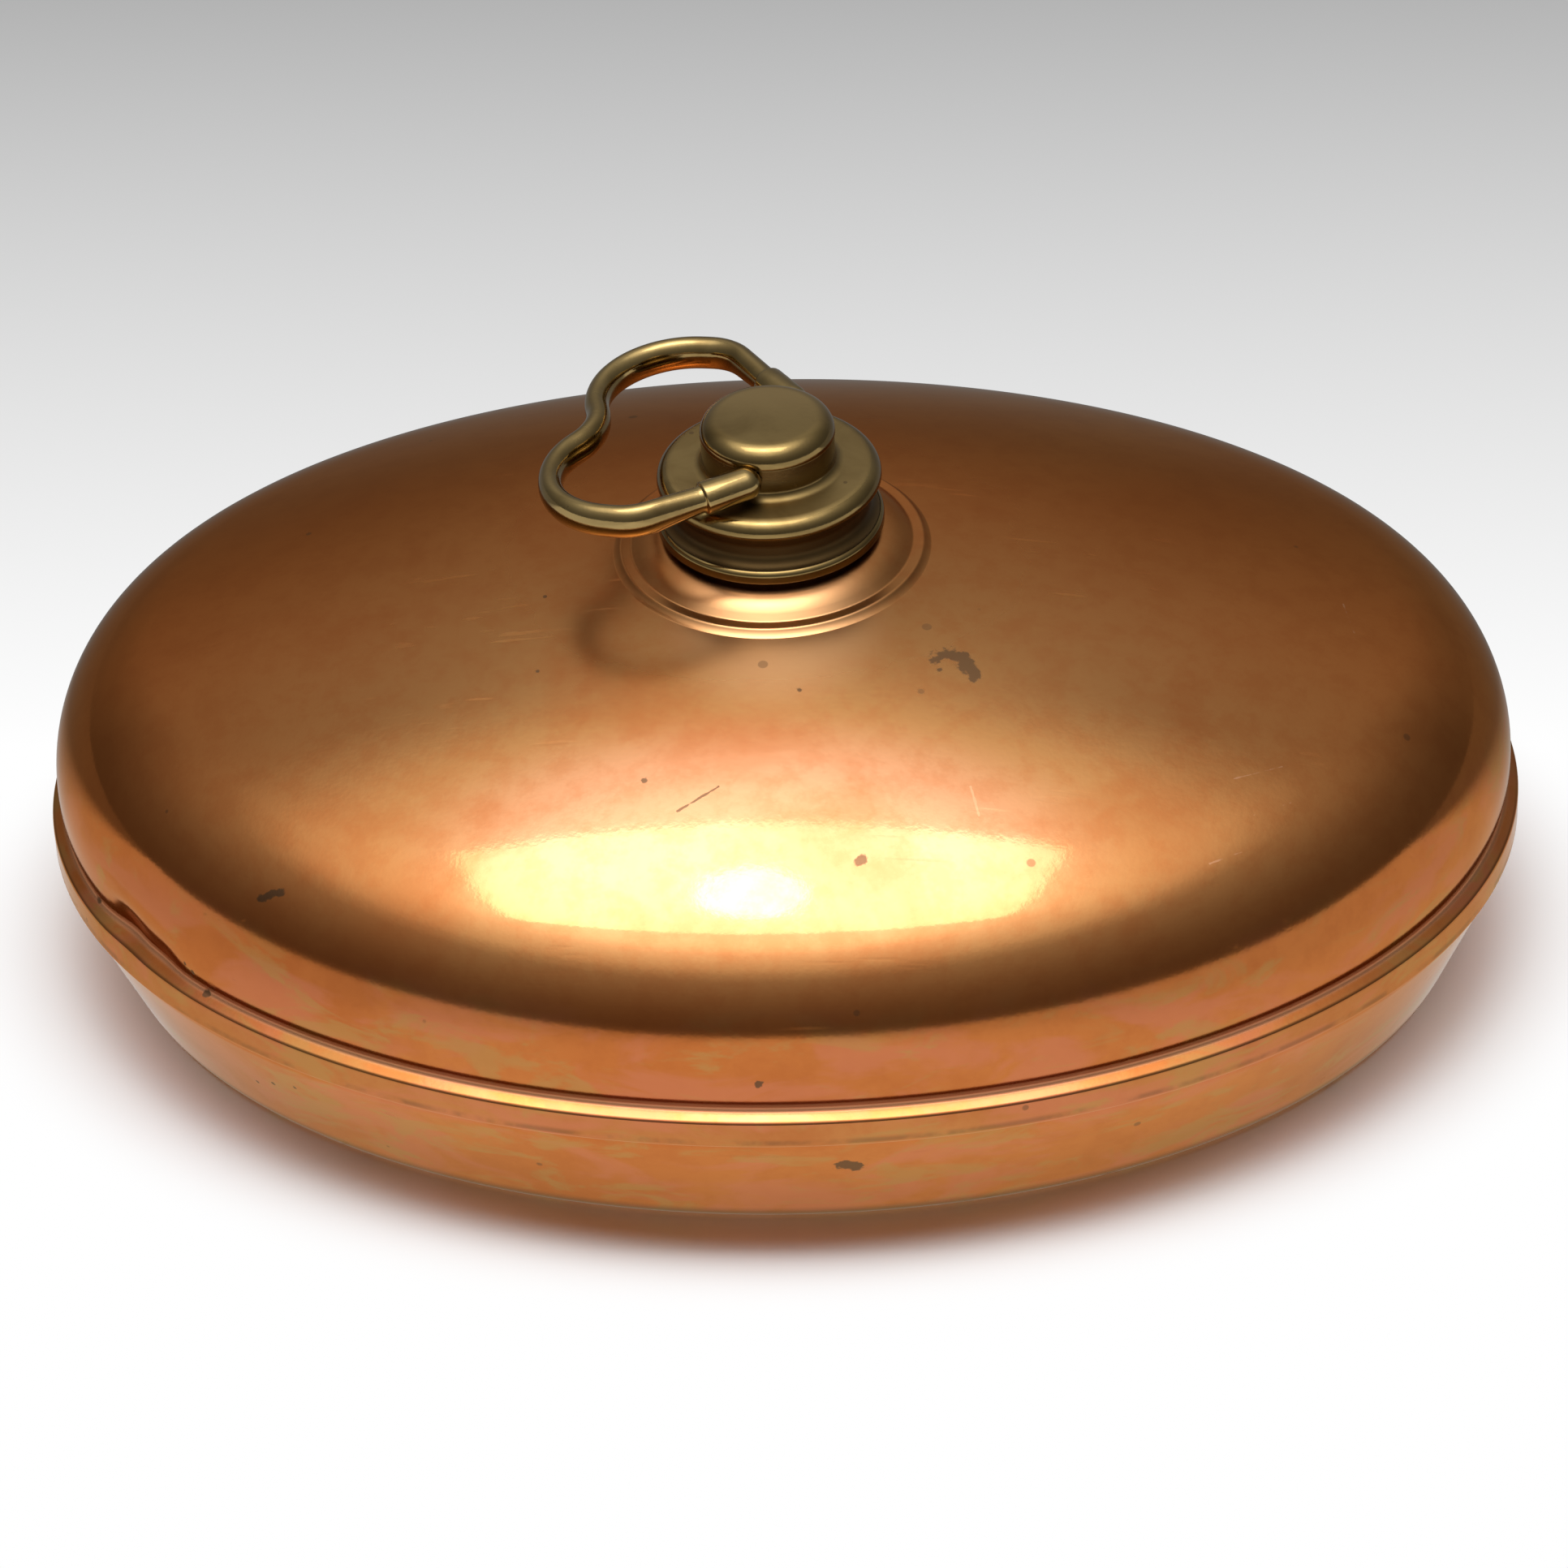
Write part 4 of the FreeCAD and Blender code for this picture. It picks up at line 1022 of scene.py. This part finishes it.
def make_table():
    """Smooth white table top, painted greyer towards the back as shade: lit near the foot, plain to the eye
    farther off.
    """
    material, tree, shader, place = new_material("pale_table")
    across, back, _ = add_node(tree, "ShaderNodeSeparateXYZ", {0: place}).outputs
    # The base colour and the plain colour get greyer towards the back, which is painted shade.
    inputs = {"Value": back, "From Min": 0.057, "From Max": 0.522, "To Min": 0.0, "To Max": 1.0}
    share = add_node(tree, "ShaderNodeMapRange", inputs).outputs[0]
    tree.links.new(mixed(tree, share, TABLE_PALE, TABLE_PAINTED_SHADE), shader.inputs["Base Color"])
    shader.inputs["Roughness"].default_value = 0.35
    ray = tree.nodes.new("ShaderNodeLightPath").outputs
    foot = vector_calc(tree, "MULTIPLY", place, (1000 / FOOT_HALF_LENGTH, 1000 / FOOT_HALF_WIDTH, 0))
    from_foot = vector_calc(tree, "DISTANCE", foot, (0, 0, 0))
    plain = add_node(tree, "ShaderNodeEmission", {"Color": mixed(tree, share, TABLE_WHITE, TABLE_FAR_PAINTED_SHADE)})
    to_eye = calc(tree, "MULTIPLY", ray["Is Camera Ray"], ramp(tree, from_foot, 1.04, 1.3))
    seen = add_node(tree, "ShaderNodeMixShader", {0: to_eye, 1: shader.outputs[0], 2: plain.outputs[0]})
    away = calc(tree, "ABSOLUTE", across)
    # As the metal sees it, the table is darker behind, at the sides and in a ring round the foot. This is
    # painted shade, and the ring is a painted shadow of the bottle.
    painted_shade_in_metal = calc(tree, "MAXIMUM", ramp(tree, back, -0.02, 0.12), ramp(tree, away, 0.06, 0.26, 0.0, 0.32))
    painted_shade_in_metal = calc(tree, "MAXIMUM", painted_shade_in_metal, ramp(tree, from_foot, 1.13, 1.0, 0.0, 0.35))
    pale = mixed(tree, painted_shade_in_metal, TABLE_IN_METAL, TABLE_SHADE_IN_METAL)
    thrown_back = calc(tree, "MINIMUM", ray["Diffuse Depth"], 1.0)
    strength = calc(tree, "MULTIPLY_ADD", thrown_back, TABLE_THROWN_BACK - 1, 1.0)
    white = add_node(tree, "ShaderNodeEmission", {"Color": pale, "Strength": strength})
    in_metal = calc(tree, "MAXIMUM", ray["Is Glossy Ray"], ray["Is Transmission Ray"])
    either = add_node(tree, "ShaderNodeMixShader", {0: in_metal, 1: seen.outputs[0], 2: white.outputs[0]})
    tree.links.new(either.outputs[0], tree.nodes["Material Output"].inputs["Surface"])
    return material


table = bpy.data.meshes.new("table")
corners = [(x * TABLE_HALF, y * TABLE_HALF, -TABLE_GAP) for x, y in ((-1, -1), (1, -1), (1, 1), (-1, 1))]
table.from_pydata(corners, [], [(0, 1, 2, 3)])
table.materials.append(make_table())
table_top = bpy.data.objects.new("table", table)
bpy.context.scene.collection.objects.link(table_top)


def add_lamp(name, shape, length, width, watts, place, in_metal=True):
    """Area lamp that shines straight down."""
    lamp = bpy.data.lights.new(name, "AREA")
    lamp.shape = shape
    lamp.size = length
    lamp.size_y = width
    lamp.energy = watts
    stand = bpy.data.objects.new(name, lamp)
    stand.location = place
    stand.visible_glossy = in_metal
    bpy.context.scene.collection.objects.link(stand)


add_lamp("softbox", "RECTANGLE", SOFTBOX_LENGTH, SOFTBOX_WIDTH, SOFTBOX_WATTS, SOFTBOX_PLACE)
add_lamp("bulb", "DISK", BULB_SIZE, BULB_SIZE, BULB_WATTS, BULB_PLACE)
add_lamp("spill", "RECTANGLE", SPILL_LENGTH, SPILL_WIDTH, SPILL_WATTS, SPILL_PLACE, in_metal=False)

surround = bpy.data.worlds.new("surround")
surround.use_nodes = True
bpy.context.scene.world = surround
sky = surround.node_tree
direction = sky.nodes.new("ShaderNodeTexCoord").outputs["Generated"]
nearness = vector_calc(sky, "DOT_PRODUCT", direction, SOFTBOX_PLACE.normalized())
glow = add_node(sky, "ShaderNodeValToRGB", {0: nearness})
for position, bright in SURROUND[1:-1]:
    glow.color_ramp.elements.new(position)
for element, (position, bright) in zip(glow.color_ramp.elements, SURROUND):
    element.position = position
    element.color = (bright, bright, bright, 1)
ray = sky.nodes.new("ShaderNodeLightPath").outputs
in_metal = calc(sky, "MAXIMUM", ray["Is Glossy Ray"], ray["Is Transmission Ray"])
behind = add_node(sky, "ShaderNodeSeparateXYZ", {0: direction}).outputs[1]
gain = ramp(sky, behind, 0.45, 0.8, 1.0, BEHIND_GAIN)
shown = vector_calc(sky, "MULTIPLY", glow.outputs[0], gain)
light = mixed(sky, ray["Is Camera Ray"], mixed(sky, in_metal, ROOM, shown), BEYOND_TABLE)
sky.links.new(light, sky.nodes["Background"].inputs["Color"])

camera = bpy.data.cameras.new("camera")
camera.lens = CAMERA_LENS
camera.sensor_width = 36.0
camera_stand = bpy.data.objects.new("camera", camera)
back = Vector((math.sin(CAMERA_TURN) * math.cos(CAMERA_RISE), -math.cos(CAMERA_TURN) * math.cos(CAMERA_RISE),
               math.sin(CAMERA_RISE)))
right = Vector((math.cos(CAMERA_TURN), math.sin(CAMERA_TURN), 0))
up = back.cross(right)
side = right * math.cos(CAMERA_ROLL) + up * math.sin(CAMERA_ROLL)
upright = up * math.cos(CAMERA_ROLL) - right * math.sin(CAMERA_ROLL)
stand = Matrix((side, upright, back)).transposed().to_4x4()
stand.translation = right * CAMERA_AIM[0] + Vector((0, 0, CAMERA_AIM[1])) + back * CAMERA_AWAY
camera_stand.matrix_world = stand
bpy.context.scene.collection.objects.link(camera_stand)
bpy.context.scene.camera = camera_stand
